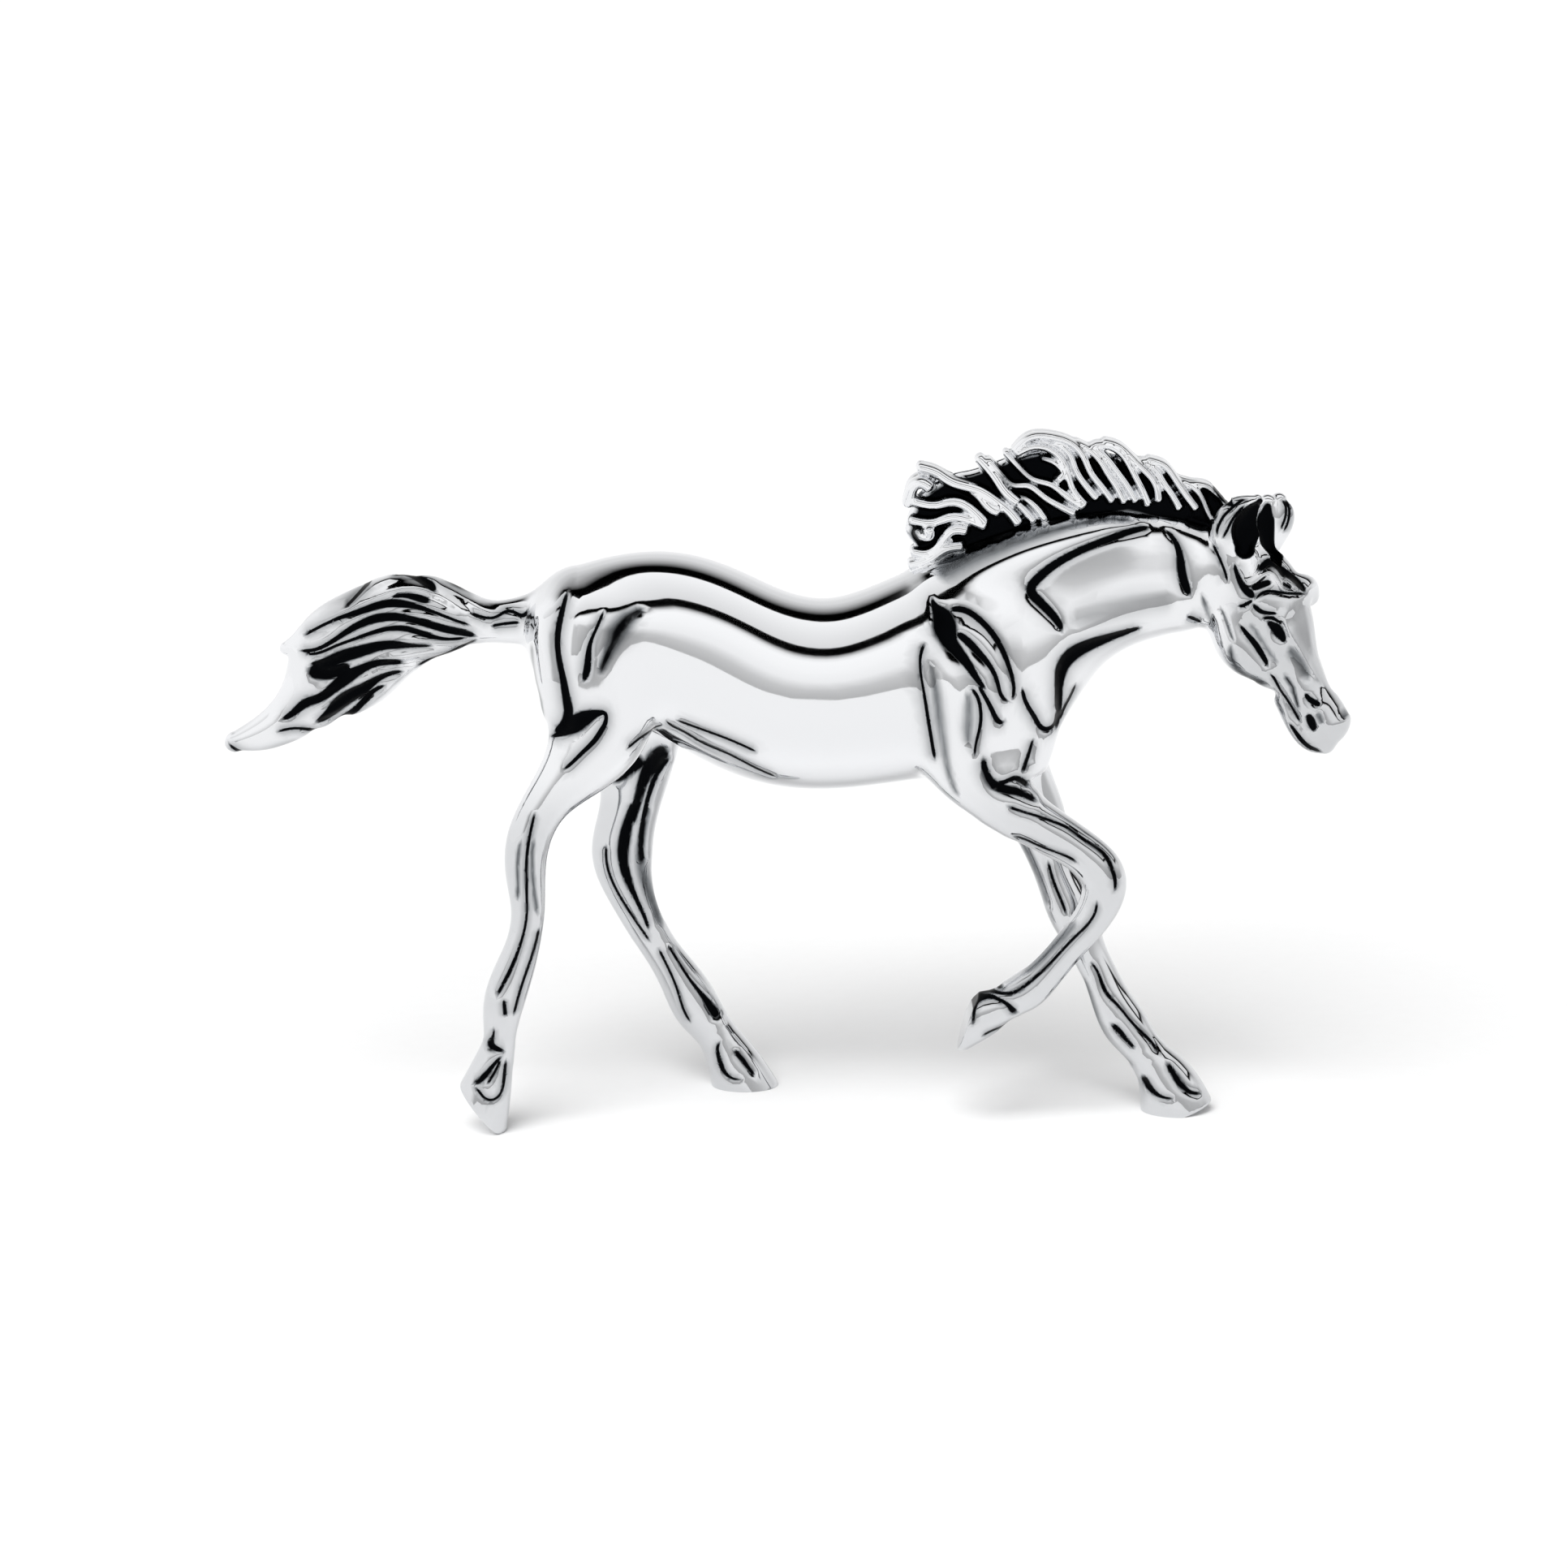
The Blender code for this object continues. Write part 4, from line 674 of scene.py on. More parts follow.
def tail_lines():
    """The valleys between the tail's wavy locks."""
    return grooves(
        [(-36.6, 58.8), (-35.1, 58.2, 0.3), (-33.4, 57.3, 0.25), (-32.2, 56.7)],
        [(-41.6, 58.7), (-39.9, 58.9, 0.17), (-38.4, 58.5, 0.25), (-36.9, 57.8, 0.35), (-36.2, 57, 0.2)],
        [(-41.5, 56.8), (-39.6, 57, 0.25), (-38.1, 56.7, 0.35), (-36.7, 56.3, 0.2)],
        [(-50.8, 52.4), (-48.7, 53.7), (-46.7, 54.7, 0.2), (-44.2, 55.5, 0.35), (-41.8, 56.2, 0.4),
         (-39.8, 56.2, 0.4), (-37.9, 55.8, 0.25), (-36, 55.1, 0.17), (-34.1, 54.3), (-32.6, 53.7)],
        [(-51.3, 51), (-49.3, 51.3, 0.2), (-47.2, 52.4, 0.25), (-45.2, 53.7, 0.35), (-42.8, 54.7, 0.45),
         (-40.6, 54.9, 0.45), (-38.9, 54.6, 0.4), (-37, 54, 0.4), (-35.1, 53.4, 0.45), (-33.4, 52.9, 0.4),
         (-32, 52.4, 0.2)],
        [(-50.6, 50.7), (-48.8, 51), (-47.2, 51.7), (-45.2, 52.5, 0.17), (-43.3, 53.2, 0.2),
         (-41.3, 53.7, 0.25), (-39.4, 53.6, 0.35), (-37.5, 52.9, 0.3), (-35.6, 52.4, 0.17), (-33.1, 52.4)],
        [(-50.3, 49.5, 0.25), (-48.3, 49.9, 0.55), (-46.3, 50.7, 0.7), (-44.3, 51.3, 0.65),
         (-42.4, 51.8, 0.55), (-40.4, 51.9, 0.45), (-38.5, 51.7, 0.2), (-36.6, 51.6)],
        [(-50.6, 49.2, 0.2), (-49.6, 48.9, 0.74), (-47.8, 48.9, 0.84), (-46.3, 49.4, 0.6),
         (-45.3, 50.2, 0.25)],
        [(-53.5, 43.4), (-52, 44.2, 0.35), (-50.5, 45.4, 0.5), (-48.9, 46.1, 0.5), (-47.4, 47.2, 0.6),
         (-45.9, 48.4, 0.7), (-44.4, 49.3, 0.5), (-42.9, 49.9, 0.4), (-41, 50, 0.35), (-39.6, 49.8, 0.2)],
        [(-49.9, 43), (-48.1, 44.2, 0.55), (-46.8, 45.5, 0.79), (-45.5, 46.4, 0.79), (-44, 47.3, 0.6),
         (-42.5, 48.3, 0.35), (-41, 48.8, 0.25), (-39.7, 48.9)],
        [(-54, 42.1), (-51.6, 42.6), (-49.9, 42.2, 0.25), (-48.6, 42, 0.35), (-47.4, 42.9, 0.37),
         (-45.6, 44.3, 0.35), (-44.1, 45.9, 0.32), (-43.1, 46.9, 0.25), (-41.6, 47.6)],
        [(-59.2, 41.1), (-58.2, 40.1, 0.2), (-56.7, 39.5, 0.2), (-54.8, 39.7), (-53, 40.3), (-50.8, 40.6)],
        [(-46.2, 55.6), (-45, 56.7), (-43.8, 57.9), (-43.1, 58.5)],
        [(-33.3, 55.4), (-32.1, 54.8), (-30.4, 54.6), (-29, 55.2), (-28.1, 55, 0.17), (-27.5, 54.8, 0.2),
         (-26.7, 56)],
        [(-31, 53.6), (-29.5, 53.9), (-27.5, 54.1)],
        [(-38.9, 49.3), (-36.5, 50.3), (-34, 51.3), (-32, 52.3)],
        thin=THIN_LINE)


def face_lines():
    """Brow, eye, cheek, jaw, mouth and nostril."""
    lines = grooves(
        [(50.2, 55.3), (50.8, 54.7, 0.42), (51.3, 54.2, 0.6), (51.8, 53.6, 0.52), (52.2, 53, 0.26),
         (52.4, 52.6)],
        [(49.5, 55.3), (50.2, 55.4, 0.16), (50.9, 55.4, 0.18), (51.5, 55.1, 0.18), (51.9, 54.5, 0.16)],
        [(48.4, 57, 0.16), (48.9, 56.4, 0.26), (49.6, 56, 0.24), (50.5, 55.9, 0.18), (51.6, 55.9)],
        [(48.4, 57), (48.9, 57.4), (49.3, 57.8, 0.16), (49.9, 58.1, 0.16), (50.8, 58.1, 0.16),
         (51.8, 58, 0.16), (52.8, 57.9, 0.16), (53.7, 57.7), (54.2, 57.6)],
        [(46.7, 56.4), (47.3, 56.5, 0.18), (48.1, 56.9, 0.18), (48.6, 57.2)],
        [(46.9, 54.9), (47.8, 53.8, 0.22), (48.8, 52.7, 0.3), (49.6, 51.6, 0.3), (50.3, 50.5, 0.22),
         (50.7, 49.8)],
        [(50.4, 49.8), (51.1, 49, 0.16), (51.6, 47.8, 0.18), (52.4, 46.8, 0.18), (53.1, 45.9, 0.18),
         (53.8, 44.9, 0.18), (54.4, 44)],
        [(52.6, 44.5), (53.4, 43.6, 0.22), (54.1, 42.8, 0.3), (54.9, 42.1, 0.3), (55.9, 41.6, 0.26),
         (57.1, 41.3, 0.16)],
        [(55.1, 45.6, 0.2), (55.4, 44.9, 0.5), (55.8, 44.1, 0.5), (56.1, 43.5, 0.2)],
        [(54.7, 47.8, 0.16), (55.1, 47.1, 0.28), (55.8, 46.7, 0.3), (56.8, 46.4, 0.16)],
        lean=HEAD_LEAN)
    # A soft band of painted shade on the cheek, in a shallow groove.
    lines += grooves(
        [(46.3, 52.9, 0.2), (46.4, 51.3, 0.35), (46.9, 49.9, 0.45), (47.8, 48.9, 0.5), (49, 48.5, 0.5),
         (50.2, 48.4, 0.35), (50.9, 48.4, 0.2)],
        lean=HEAD_LEAN, soft=0.65)
    # Soft bands of painted shade, in shallow grooves.
    lines += grooves(
        [(56.2, 45.8, 0.25), (56.6, 45.2, 0.35), (57, 44.4, 0.25)],
        [(58.8, 46.4, 0.2), (59, 45.6, 0.25), (59.1, 44.9, 0.2)],
        lean=HEAD_LEAN, soft=0.6)
    # A soft band of painted shade, in a shallow groove.
    lines += grooves(
        [(48, 55.1, 0.2), (49.4, 53.2, 0.3), (50.6, 51.6, 0.3), (51.8, 50.1, 0.2)],
        lean=HEAD_LEAN, soft=0.5)
    # A soft band of painted shade, in a shallow groove.
    lines += grooves(
        [(51.9, 49.7, 0.18), (52.6, 49, 0.24), (53.2, 48.2, 0.24), (53.6, 47.2, 0.24), (53.9, 46.2, 0.22),
         (54.1, 45.3, 0.18)],
        lean=HEAD_LEAN, soft=0.7)
    # Soft bands of painted shade, in shallow grooves.
    lines += grooves(
        [(50.1, 47.4), (50.7, 47, 0.2), (51.3, 46.4, 0.2), (51.8, 45.5, 0.2), (52.4, 44.7)],
        [(52.2, 52.7, 0.24), (52.9, 52, 0.49), (53.9, 50.9, 0.53), (54.5, 49.7, 0.49), (55.1, 48.5, 0.29)],
        thin=THIN_LINE, lean=HEAD_LEAN, soft=0.55)
    # Soft bands of painted shade, in shallow grooves.
    lines += grooves(
        [(45.4, 56.4, 0.1), (46, 55.1, 0.12), (46.5, 53.7, 0.12), (47, 52.5, 0.07)],
        [(43.4, 57.8, 0.1), (44.1, 56, 0.19), (44.7, 54.2, 0.17), (45, 53.3, 0.1)],
        across=NEAR, soft=0.6)
    lines += ridges(
        [(51.7, 56.6, 0.35), (52.4, 54.9, 0.35), (53.4, 53, 0.35), (54.6, 51, 0.35), (55.8, 49.2, 0.35),
         (56.7, 47.9, 0.35)],
        height=0.3, lean=HEAD_LEAN)
    return lines


def forelock_lines():
    """The folds of the ears, and the forelock's wavy ridge over the brow."""
    lines = grooves(
        [(45.1, 63.2), (45, 64.1), (45.3, 65.1), (45.7, 65.8), (46.5, 66.6), (47.7, 67.4), (48.4, 67.5)],
        [(45.4, 63.2), (45.9, 64.1), (46.5, 65.4), (47.2, 66.3), (48, 67.1)],
        [(51.9, 67), (52.4, 66.4), (52.5, 65.3), (52.2, 64.3), (51.9, 63.6)],
        [(52.2, 67), (52.8, 66.2), (52.9, 65.3), (52.7, 64.3), (52.2, 63.3)],
        [(46.8, 61.2), (47, 60.1, 0.2), (47.4, 59.1, 0.3), (48, 58.2, 0.42), (48.8, 57.7, 0.4),
         (49.4, 57.9, 0.2)],
        [(48.4, 58.2, 0.2), (49.2, 58.6, 0.36), (50, 58.9, 0.34), (50.8, 59.1, 0.2)],
        [(48.9, 60, 0.16), (49.6, 60.5, 0.3), (50.4, 61, 0.36), (51.2, 60.7, 0.36), (51.8, 59.9, 0.3),
         (52.3, 59.1, 0.16)],
        [(51.3, 60.8, 0.15), (52.2, 59.9, 0.29), (53.2, 59.1, 0.32), (53.9, 58.4, 0.29), (54.5, 57.6)],
        [(51.7, 59), (52.2, 58.7, 0.15), (52.8, 58.4)],
        [(41.8, 65, 0.22), (42.7, 64.8, 0.32), (43.7, 64.5, 0.32), (44.3, 64.3, 0.19)],
        [(43.5, 68.5), (44, 67.8, 0.15), (44.3, 66.8, 0.15), (44.7, 65.8), (44.9, 64.9)],
        [(44.5, 68.6), (45.2, 68, 0.29), (46, 67.2, 0.41), (46.6, 67, 0.24), (46.9, 67.2)],
        [(44.5, 63), (45, 62), (45.5, 60.9), (45.9, 59.9), (46.2, 58.6)])
    lines += ridges(
        [(46.9, 61, 0.26), (47.5, 59.8, 0.33), (48.1, 58.9, 0.36), (48.8, 59.1, 0.36), (49.5, 59.7, 0.36),
         (50.2, 60.1, 0.36), (50.9, 59.9, 0.36), (51.4, 59.1, 0.36), (51.9, 58.4, 0.33), (53.1, 58, 0.29),
         (54.3, 57.7, 0.18)],
        height=0.5)
    lines += ridges(
        [(48.5, 62.7, 0.18), (49, 61.7, 0.29), (49, 60.8, 0.33), (48.6, 60, 0.29), (48.1, 59.7, 0.18)],
        height=0.4)
    lines += ridges(
        [(51.5, 59.6, 0.11), (52.5, 59, 0.22), (53.5, 58.4, 0.26), (54.3, 57.7, 0.15)],
        height=0.3)
    return lines


def foal():
    """The foal's pieces in the order that they join, then the lines carved into them."""
    pieces = trunk() + head() + legs() + hooves() + tail() + mane() + ears()
    lines = (neck_lines() + shoulder_lines() + near_fore_lines() + far_fore_lines() + near_hind_lines()
             + far_hind_lines() + hindquarter_lines() + tail_locks() + tail_lines() + face_lines()
             + forelock_lines())
    return pieces, lines


def within(item, points):
    return np.flatnonzero(((points > item.low) & (points < item.high)).all(1))


def field(form, points):
    """How far each point is outside the foal, less than zero within it."""
    pieces, lines = form
    value = np.full(len(points), FAR_AWAY)
    for piece in pieces:
        near = within(piece, points)
        if len(near) == 0:
            continue
        own = piece.distance(points[near])
        if piece.hollow:
            value[near] = join(value[near], -own, -piece.blend)
        else:
            value[near] = join(value[near], own, piece.blend)
    skin = np.flatnonzero(np.abs(value) < BAND)
    for line in lines:
        near = skin[within(line, points[skin])]
        if len(near):
            value[near] += line.change(points[near])
    return value


def sample(form, low, high):
    """The field on a grid: exact near the surface, found by halving a coarse grid."""
    step = COARSE
    size = np.ceil((high - low) / step).astype(int) + 1
    axes = [low[i] + step * np.arange(size[i]) for i in range(3)]
    points = np.stack(np.meshgrid(*axes, indexing="ij"), -1).reshape(-1, 3)
    values = field(form, points).reshape(size)
    for _ in range(HALVINGS):
        values = halve(values)
        step /= 2
        near = np.argwhere(np.abs(values) < 2.2 * step + 0.2)
        values[tuple(near.T)] = field(form, low + near * step)
    return values, step


def halve(values):
    """The same grid with a new point between each two."""
    for axis in range(3):
        values = np.moveaxis(values, axis, 0)
        finer = np.empty((2 * values.shape[0] - 1,) + values.shape[1:], values.dtype)
        finer[::2] = values
        finer[1::2] = (values[:-1] + values[1:]) / 2
        values = np.moveaxis(finer, 0, axis)
    return values


def clear_up(values):
    """Fills the corners where two parts of the foal would touch only along an edge or at a corner."""
    filled = -0.02
    most_rounds = 40
    for _ in range(most_rounds):
        inside = values < 0
        spots = []
        for axis in range(3):
            grid = np.moveaxis(inside, axis, 0)
            first, second = grid[:, :-1, :-1], grid[:, 1:, :-1]
            third, fourth = grid[:, 1:, 1:], grid[:, :-1, 1:]
            doubtful = np.argwhere((first == third) & (second == fourth) & (first != second))
            for one, two in ((0, 0), (1, 0), (1, 1), (0, 1)):
                spots.append(np.insert(doubtful[:, 1:] + (one, two), axis, doubtful[:, 0], axis=1))
        spots = np.concatenate(spots + [opposite_corners(inside)])
        if len(spots) == 0:
            return values
        at_spots = values[tuple(spots.T)]
        outside = spots[at_spots >= 0]
        values[tuple(outside.T)] = filled
    return values


def opposite_corners(inside):
    """Grid points of the cells that hold only two opposite corners, or all but two."""
    cells = [slice(None, -1), slice(1, None)]
    corners = [(a, b, c) for a in (0, 1) for b in (0, 1) for c in (0, 1)]
    held = [inside[cells[a], cells[b], cells[c]] for a, b, c in corners]
    count = sum(one.astype(np.int8) for one in held)
    spots = [np.zeros((0, 3), int)]
    for i in range(4):
        lone = (held[i] & held[7 - i] & (count == 2)) | (~held[i] & ~held[7 - i] & (count == 6))
        found = np.argwhere(lone)
        spots += [found + corner for corner in corners]
    return np.concatenate(spots)


def skin(values, low, step):
    """Corners and four-sided faces of the surface where the sampled field is zero."""
    inside = values < 0
    cells = [slice(None, -1), slice(1, None)]
    corners = [(a, b, c) for a in (0, 1) for b in (0, 1) for c in (0, 1)]
    count = sum(inside[cells[a], cells[b], cells[c]].astype(np.int8) for a, b, c in corners)
    active = np.argwhere((count > 0) & (count < 8))
    number = np.full(count.shape, -1, np.int64)
    number[tuple(active.T)] = np.arange(len(active))
    total = np.zeros((len(active), 3))
    crossings = np.zeros(len(active))
    for corner in corners:
        for axis in range(3):
            if corner[axis] == 1:
                continue
            other = np.array(corner)
            other[axis] = 1
            start = values[tuple((active + corner).T)]
            end = values[tuple((active + other).T)]
            crossed = (start < 0) != (end < 0)
            share = np.where(crossed, start / np.where(crossed, start - end, 1), 0)
            spot = np.array(corner, float) + share[:, None] * np.eye(3)[axis]
            total += spot * crossed[:, None]
            crossings += crossed
    points = low + (active + total / crossings[:, None]) * step
    faces = []
    for axis in range(3):
        one, two = (axis + 1) % 3, (axis + 2) % 3
        start = np.moveaxis(inside, axis, 0)[:-1]
        end = np.moveaxis(inside, axis, 0)[1:]
        edges = np.argwhere(np.moveaxis(start != end, 0, axis))
        edges = edges[(edges[:, one] > 0) & (edges[:, two] > 0)]
        first = np.eye(3, dtype=int)[one]
        second = np.eye(3, dtype=int)[two]
        ring = [edges - first - second, edges - second, edges, edges - first]
        quads = np.stack([number[tuple(spot.T)] for spot in ring], 1)
        flip = ~inside[tuple(edges.T)]
        quads[flip] = quads[flip][:, ::-1]
        faces.append(quads)
    return points, np.concatenate(faces)


def settle(form, points, facing):
    """The points moved onto the surface, with the way that it faces at each."""
    probe = 0.05
    first_move, last_move = 0.2, 0.3
    points = points - np.clip(field(form, points), -first_move, first_move)[:, None] * facing
    slope = np.stack([field(form, points + probe * way) - field(form, points - probe * way)
                      for way in np.eye(3)], 1) / (2 * probe)
    size = np.maximum((slope ** 2).sum(1), 0.1)
    points = points - np.clip(field(form, points) / size, -last_move, last_move)[:, None] * slope
    return points, unit(slope)


def oxide_and_shade(form, points):
    """How dark each point is: black oxide left in the grooves, the ear cups and between the locks, 1 at most,
    and grey painted shade on the lower legs, the face, beside the lines and in the soft bands; 0 where the
    polisher reaches.
    """
    pieces, lines = form
    # Painted shade: the lower legs are greyed below a height.
    black = LOW_LEG_SHADE * ease((LEG_SHADE_BELOW - points[:, 2]) / 8.0)
    x, z = points[:, 0], points[:, 2]
    # Painted shade: the face's side is greyed.
    black += FACE_SHADE * ease((x - FACE_FROM) / 3.0) * ease((FACE_BELOW - z) / 3.0)
    for line in lines:
        near = within(line, points)
        if len(near):
            black[near] = np.maximum(black[near], line.black(points[near]))
    for piece in pieces:
        if piece.hollow:
            near = within(piece, points)
            depth = np.abs(piece.distance(points[near]))
            black[near] = np.maximum(black[near], ease(1.4 - depth / 0.2))
        if piece.is_crest:
            near = within(piece, points)
            height = piece.distance(points[near])
            root = ease((points[near, 2] - neck_line(points[near, 0])) / 1.6 + 0.4)
            rim = ease((np.abs(points[near, 1]) - 0.5) / 0.4)
            left = ease((CREST_REACH - height) / 0.45)
            black[near] = np.maximum(black[near], left * root * rim)
    return black


def neck_line(x):
    """The height of the mane's root along the neck."""
    along_neck = [12.0, 14.8, 20.0, 28.0, 36.0, 45.0, 50.0]
    return np.interp(x, along_neck, [57.5, 59.2, 62.0, 64.4, 65.6, 63.6, 61.0])


def cast_skin(form):
    """The sampled skin, cut level under the hooves and brought down to few triangles."""
    values, step = sample(form, ROOM_LOW, ROOM_HIGH)
    points, faces = skin(clear_up(values), ROOM_LOW, step)
    mesh = bpy.data.meshes.new("skin")
    mesh.from_pydata(points.tolist(), [], faces.tolist())
    body = bmesh.new()
    body.from_mesh(mesh)
    fill_pockets(body)
    bmesh.ops.recalc_face_normals(body, faces=body.faces)
    bmesh.ops.triangulate(body, faces=body.faces)
    cut = bmesh.ops.bisect_plane(body, geom=body.verts[:] + body.edges[:] + body.faces[:],
                                 plane_co=(0, 0, 0), plane_no=(0, 0, 1), clear_inner=True)
    rim = [item for item in cut["geom_cut"] if isinstance(item, bmesh.types.BMEdge)]
    bmesh.ops.holes_fill(body, edges=rim)
    bmesh.ops.triangulate(body, faces=body.faces)
    count = len(body.faces)
    body.to_mesh(mesh)
    body.free()
    rough = bpy.data.objects.new("rough", mesh)
    bpy.context.scene.collection.objects.link(rough)
    fewer = rough.modifiers.new("fewer triangles", "DECIMATE")
    fewer.ratio = min(1.0, TRIANGLES / count)
    graph = bpy.context.evaluated_depsgraph_get()
    thinned = bpy.data.meshes.new_from_object(rough.evaluated_get(graph))
    bpy.data.objects.remove(rough)
    bpy.data.meshes.remove(mesh)
    sharpen(form, thinned)
    return thinned


def sharpen(form, mesh):
    """Halves the edges that miss how the oxide and painted shade change between their ends."""
    body = bmesh.new()
    body.from_mesh(mesh)
    for _ in range(SHARPENINGS):
        points = np.array([corner.co for corner in body.verts])
        ends = np.array([[corner.index for corner in edge.verts] for edge in body.edges])
        black = oxide_and_shade(form, points)
        middle = oxide_and_shade(form, points[ends].mean(1))
        length = np.linalg.norm(points[ends[:, 0]] - points[ends[:, 1]], axis=1)
        miss = np.abs(middle - black[ends].mean(1)) * (length > SHORTEST_EDGE)
        most = (MOST_TRIANGLES - len(body.faces)) // 3
        chosen = [i for i in np.argsort(-miss)[:max(most, 0)] if miss[i] > SHARP_MISS]
        edges = list(body.edges)
        bmesh.ops.subdivide_edges(body, edges=[edges[i] for i in chosen], cuts=1)
        bmesh.ops.triangulate(body, faces=[face for face in body.faces if len(face.verts) > 3])
        body.verts.index_update()
    body.to_mesh(mesh)
    body.free()


def fill_pockets(body):
    """Takes away the skins of sealed pockets between locks, so that the casting is solid there."""
    muzzle = max(body.verts, key=lambda corner: corner.co.x)
    reached = {muzzle}
    edge_of_search = [muzzle]
    while edge_of_search:
        corner = edge_of_search.pop()
        for edge in corner.link_edges:
            other = edge.other_vert(corner)
            if other not in reached:
                reached.add(other)
                edge_of_search.append(other)
    pockets = [corner for corner in body.verts if corner not in reached]
    bmesh.ops.delete(body, geom=pockets, context="VERTS")


def make_foal():
    """The foal at the size and place of its CAD solid; also that size's share and shift."""
    form = foal()
    mesh = cast_skin(form)
    points = np.empty(3 * len(mesh.vertices))
    mesh.vertices.foreach_get("co", points)
    points = points.reshape(-1, 3)
    on_ground = points[:, 2] < 1e-4
    facing = np.empty(3 * len(mesh.vertices))
    mesh.vertices.foreach_get("normal", facing)
    settled, facing = settle(form, points, facing.reshape(-1, 3))
    settled[:, 2] = np.maximum(settled[:, 2], 0)
    points = np.where(on_ground[:, None], points, settled)
    black = oxide_and_shade(form, points)
    low, high = points.min(0), points.max(0)
    share = (cad_box[1].x - cad_box[0].x) / (high[0] - low[0])
    shift = np.array([(cad_box[0].x + cad_box[1].x) / 2, (cad_box[0].y + cad_box[1].y) / 2, 0.0])
    shift -= share * np.array([low[0] + high[0], low[1] + high[1], 0.0]) / 2
    mesh.vertices.foreach_set("co", (points * share + shift).ravel())
    layer = mesh.attributes.new("oxide_and_shade", "FLOAT", "POINT")
    layer.data.foreach_set("value", black)
    mesh.shade_smooth()
    corners = np.empty(len(mesh.loops), np.int32)
    mesh.loops.foreach_get("vertex_index", corners)
    normals = facing[corners].reshape(-1, 3, 3)
    soles = on_ground[corners].reshape(-1, 3).all(1)
    normals[soles] = (0, 0, -1)
    mesh.normals_split_custom_set(normals.reshape(-1, 3).tolist())
    mesh.update()
    item = bpy.data.objects.new("foal_casting", mesh)
    bpy.context.scene.collection.objects.link(item)
    return item, share, shift


def colour(code):
    """A colour's sRGB hex code as linear numbers."""
    parts = [int(code[i:i + 2], 16) / 255 for i in (1, 3, 5)]
    return [part / 12.92 if part <= 0.04045 else ((part + 0.055) / 1.055) ** 2.4 for part in parts] + [1.0]


def add(tree, kind, inputs=(), **settings):
    """Adds a node with its settings. An input that is a socket is linked; any other is a value."""
    node = tree.nodes.new(kind)
    for name, value in settings.items():
        setattr(node, name, value)
    for name, value in dict(inputs).items():
        if isinstance(value, bpy.types.NodeSocket):
            tree.links.new(value, node.inputs[name])
        else:
            node.inputs[name].default_value = value
    return node


def calculate(tree, operation, *values):
    """The result of one step of arithmetic."""
    return add(tree, "ShaderNodeMath", dict(enumerate(values)), operation=operation).outputs[0]


def mix(tree, share, first, second, blend="MIX"):
    """The first colour, mixed with this share of the second."""
    colours = {"Fac": share, "Color1": first, "Color2": second}
    return add(tree, "ShaderNodeMixRGB", colours, blend_type=blend).outputs[0]


def between(tree, value, from_limits=(0.0, 1.0), to_limits=(0.0, 1.0), shape="LINEAR"):
    """The value, carried from the first limits to the second."""
    limits = {"Value": value, "From Min": from_limits[0], "From Max": from_limits[1],
              "To Min": to_limits[0], "To Max": to_limits[1]}
    return add(tree, "ShaderNodeMapRange", limits, interpolation_type=shape).outputs["Result"]


def noise(tree, width, detail):
    """A cloudy grey whose blots are about so wide, in metres."""
    place = add(tree, "ShaderNodeTexCoord").outputs["Object"]
    inputs = {"Vector": place, "Scale": 1 / width, "Detail": detail}
    return add(tree, "ShaderNodeTexNoise", inputs).outputs["Fac"]


def ramp(tree, factor, stops):
    """The grey that a factor gives along the stops, each a place from 0 to 1 and a brightness."""
    node = add(tree, "ShaderNodeValToRGB", {"Fac": factor})
    marks = node.color_ramp.elements
    while len(marks) < len(stops):
        marks.new(0.5)
    for mark, (place, bright) in zip(marks, stops):
        mark.position = place
        mark.color = (bright, bright, bright, 1.0)
    return node.outputs["Color"]


def polished_silver():
    """Sterling silver, cast, filed and mirror-polished, with black sulphide left in the recesses and grey
    painted shade laid on from the same mask.
    """
    material = bpy.data.materials.new("polished_silver")
    material.use_nodes = True
    tree = material.node_tree
    shader = tree.nodes["Principled BSDF"]
    mask = add(tree, "ShaderNodeAttribute", attribute_name="oxide_and_shade").outputs["Fac"]
    # The polish is a little cloudy, in blots 1.6 mm wide with finer ones within them.
    cloud = noise(tree, 0.0016, 3.0)
    mottled = calculate(tree, "MULTIPLY", calculate(tree, "SUBTRACT", cloud, 0.5), mask)
    edge = calculate(tree, "MULTIPLY_ADD", mottled, 0.25, mask)
    # The grey share is painted shade beside the lines, in the soft bands, on the lower legs and the face, and
    # the fading edge of the oxide.
    grey = between(tree, edge, (0.0, 0.5))
    dark = between(tree, edge, (0.45, 0.75), shape="SMOOTHSTEP")
    silver_with_shade_and_oxide = mix(tree, grey, colour("#E9EAEC"), colour("#7E8184"))
    base = mix(tree, dark, silver_with_shade_and_oxide, colour("#08090B"))
    tree.links.new(base, shader.inputs["Base Color"])
    rough = between(tree, dark, to_limits=(0.045, 0.38))
    tree.links.new(calculate(tree, "MULTIPLY_ADD", cloud, 0.03, rough), shader.inputs["Roughness"])
    shader.inputs["Metallic"].default_value = 1.0
    return material


def white_card():
    """Matt white card: paper pulp, pressed, with a faint tooth."""
    material = bpy.data.materials.new("white_card")
    material.use_nodes = True
    tree = material.node_tree
    shader = tree.nodes["Principled BSDF"]
    tint = mix(tree, noise(tree, 0.002, 2.0), colour("#F7F7F7"), colour("#FAFAFA"))
    tree.links.new(tint, shader.inputs["Base Color"])
    shader.inputs["Roughness"].default_value = 0.9
    shader.inputs["Specular IOR Level"].default_value = 0.0
    return material


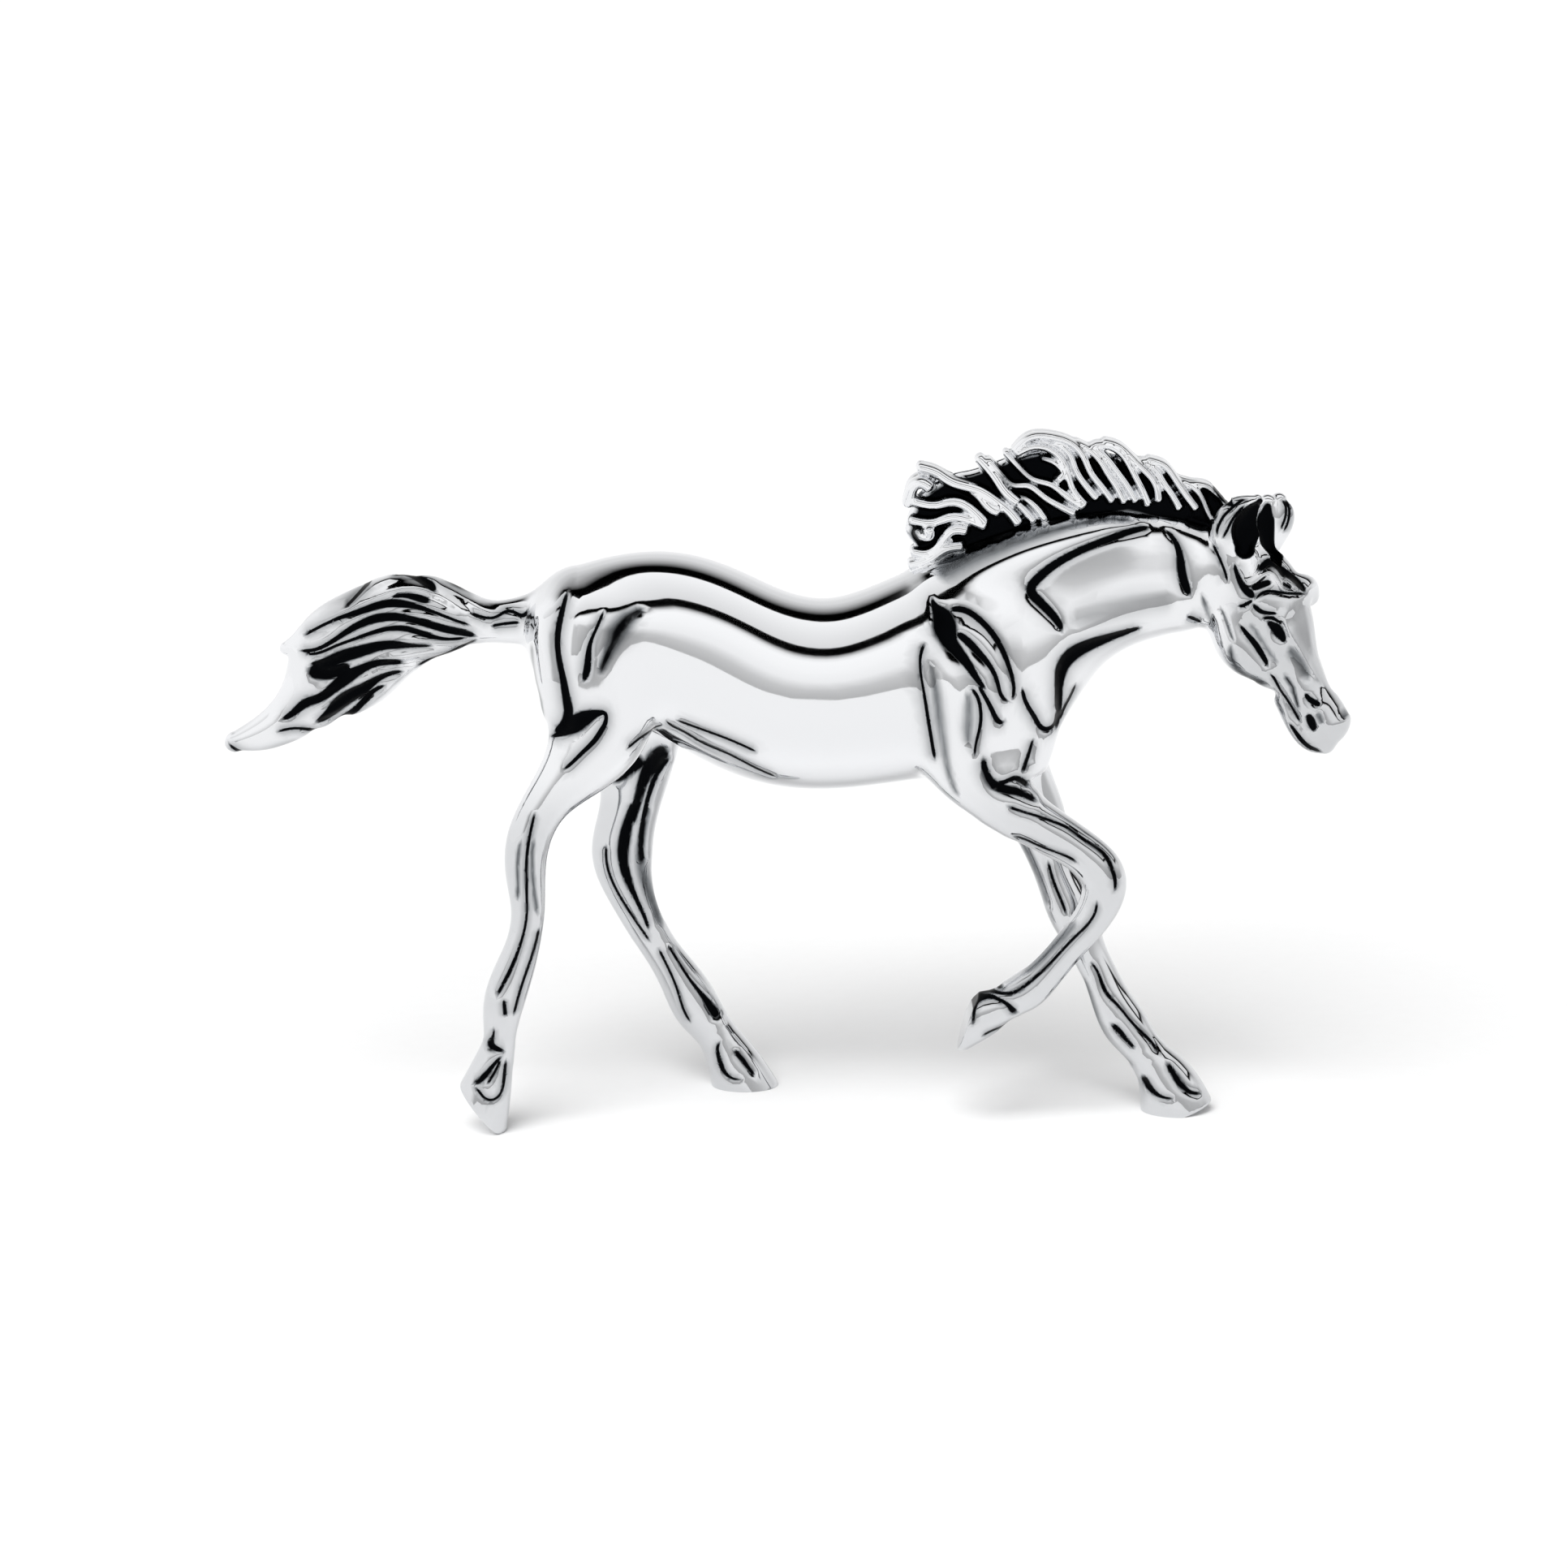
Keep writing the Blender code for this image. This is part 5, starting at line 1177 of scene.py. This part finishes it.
def make_floor():
    half = 6.0
    mesh = bpy.data.meshes.new("floor")
    corners = [(-half, -half, -2e-5), (half, -half, -2e-5), (half, half, -2e-5), (-half, half, -2e-5)]
    mesh.from_pydata(corners, [], [(0, 1, 2, 3)])
    mesh.materials.append(white_card())
    floor = bpy.data.objects.new("floor", mesh)
    bpy.context.scene.collection.objects.link(floor)


def make_studio():
    """A white tent: a long soft box overhead in a black frame, front and rear walls, a bright left end."""
    world = bpy.data.worlds.new("studio")
    bpy.context.scene.world = world
    world.use_nodes = True
    tree = world.node_tree
    tree.nodes.clear()
    way = add(tree, "ShaderNodeTexCoord").outputs["Generated"]
    axes = add(tree, "ShaderNodeSeparateXYZ", {"Vector": way}).outputs
    lift = calculate(tree, "MAXIMUM", axes["Z"], 0.02)
    across = calculate(tree, "DIVIDE", axes["X"], lift)
    deep = calculate(tree, "DIVIDE", axes["Y"], lift)
    # On a ceiling one metre up, the box runs from 0.62 m in front of the foal to 0.17 m behind it.
    front_edge, rear_edge, end_edge = -0.62, 0.17, 1.9
    middle, half = (front_edge + rear_edge) / 2, (rear_edge - front_edge) / 2
    away = calculate(tree, "ABSOLUTE", calculate(tree, "SUBTRACT", deep, middle))
    off = calculate(tree, "SUBTRACT", away, half)
    end = calculate(tree, "SUBTRACT", calculate(tree, "ABSOLUTE", across), end_edge)
    beyond = calculate(tree, "MAXIMUM", off, end)
    in_box = between(tree, beyond, (-0.012, 0.0), (1.0, 0.0))
    reach = 2.6
    frame_share = calculate(tree, "DIVIDE", beyond, reach)
    front_frame = ramp(tree, frame_share, [(0.0, 0.0), (0.235 / reach, 0.0), (0.29 / reach, 0.35),
                                           (0.40 / reach, 0.85), (0.54 / reach, 1.0)])
    rear_frame = ramp(tree, frame_share, [(0.0, 0.0), (0.26 / reach, 0.0), (0.47 / reach, 0.35),
                                          (0.70 / reach, 0.62), (1.11 / reach, 0.85), (1.0, 1.0)])
    height = calculate(tree, "DIVIDE", calculate(tree, "ARCSINE", axes["Z"]), math.pi / 2)
    front_wall = ramp(tree, height, [(0.0, 0.54), (9.5 / 90, 0.68), (19 / 90, 1.03), (30 / 90, 1.11),
                                     (42 / 90, 1.15)])
    rear_wall = ramp(tree, height, [(0.0, 1.0), (16 / 90, 0.95), (30 / 90, 0.95), (45 / 90, 1.0)])
    front = mix(tree, 1.0, front_wall, front_frame, "MULTIPLY")
    rear = mix(tree, 1.0, rear_wall, rear_frame, "MULTIPLY")
    walls = mix(tree, between(tree, axes["Y"], (-0.15, 0.35), shape="SMOOTHSTEP"), front, rear)
    left = between(tree, axes["X"], (-0.40, -0.75), shape="SMOOTHSTEP")
    walls = mix(tree, left, walls, (LEFT_END, LEFT_END, LEFT_END, 1.0))
    box_share = between(tree, deep, (front_edge, rear_edge))
    box_light = ramp(tree, box_share, [(0.0, 0.84), (0.5, 0.98), (1.0, 1.12)])
    tent = mix(tree, in_box, walls, box_light)
    rays = add(tree, "ShaderNodeLightPath").outputs
    shown = mix(tree, rays["Is Camera Ray"], tent, colour("#FFFFFF"))
    # The tent's walls light the card less than they show in the silver, so that the shadow keeps its depth.
    power = between(tree, rays["Is Diffuse Ray"], to_limits=(1.0, ON_CARD))
    light = add(tree, "ShaderNodeBackground", {"Color": shown, "Strength": power}).outputs[0]
    add(tree, "ShaderNodeOutputWorld", {"Surface": light})


def make_key():
    """A broad lamp low in front and a little to the left, which lays the shadow behind the foal."""
    lamp = bpy.data.lights.new("key", "SUN")
    lamp.energy = LAMP_STRENGTH
    lamp.angle = math.radians(LAMP_WIDTH)
    item = bpy.data.objects.new("key", lamp)
    item.rotation_euler = (math.radians(LAMP_TILT), 0, math.radians(LAMP_TURN))
    item.visible_glossy = False
    bpy.context.scene.collection.objects.link(item)


def make_camera(share, shift):
    tilt = math.radians(CAMERA_ELEVATION)
    lens = bpy.data.cameras.new("camera")
    lens.sensor_width = SENSOR
    lens.lens = SENSOR * PIXELS_PER_STATION * CAMERA_DISTANCE / PICTURE
    lens.clip_start = 0.01
    lens.clip_end = 20.0
    camera = bpy.data.objects.new("camera", lens)
    spot = np.array([0, -CAMERA_DISTANCE * math.cos(tilt), AIM_HEIGHT + CAMERA_DISTANCE * math.sin(tilt)])
    camera.location = spot * share + shift
    camera.rotation_euler = (math.pi / 2 - tilt, 0, 0)
    bpy.context.scene.collection.objects.link(camera)
    bpy.context.scene.camera = camera


casting, share, shift = make_foal()
casting.data.materials.append(polished_silver())
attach(casting, "root")
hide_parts("foal")
make_camera(share, shift)
make_floor()
make_studio()
make_key()
bpy.context.scene.view_settings.view_transform = "Standard"
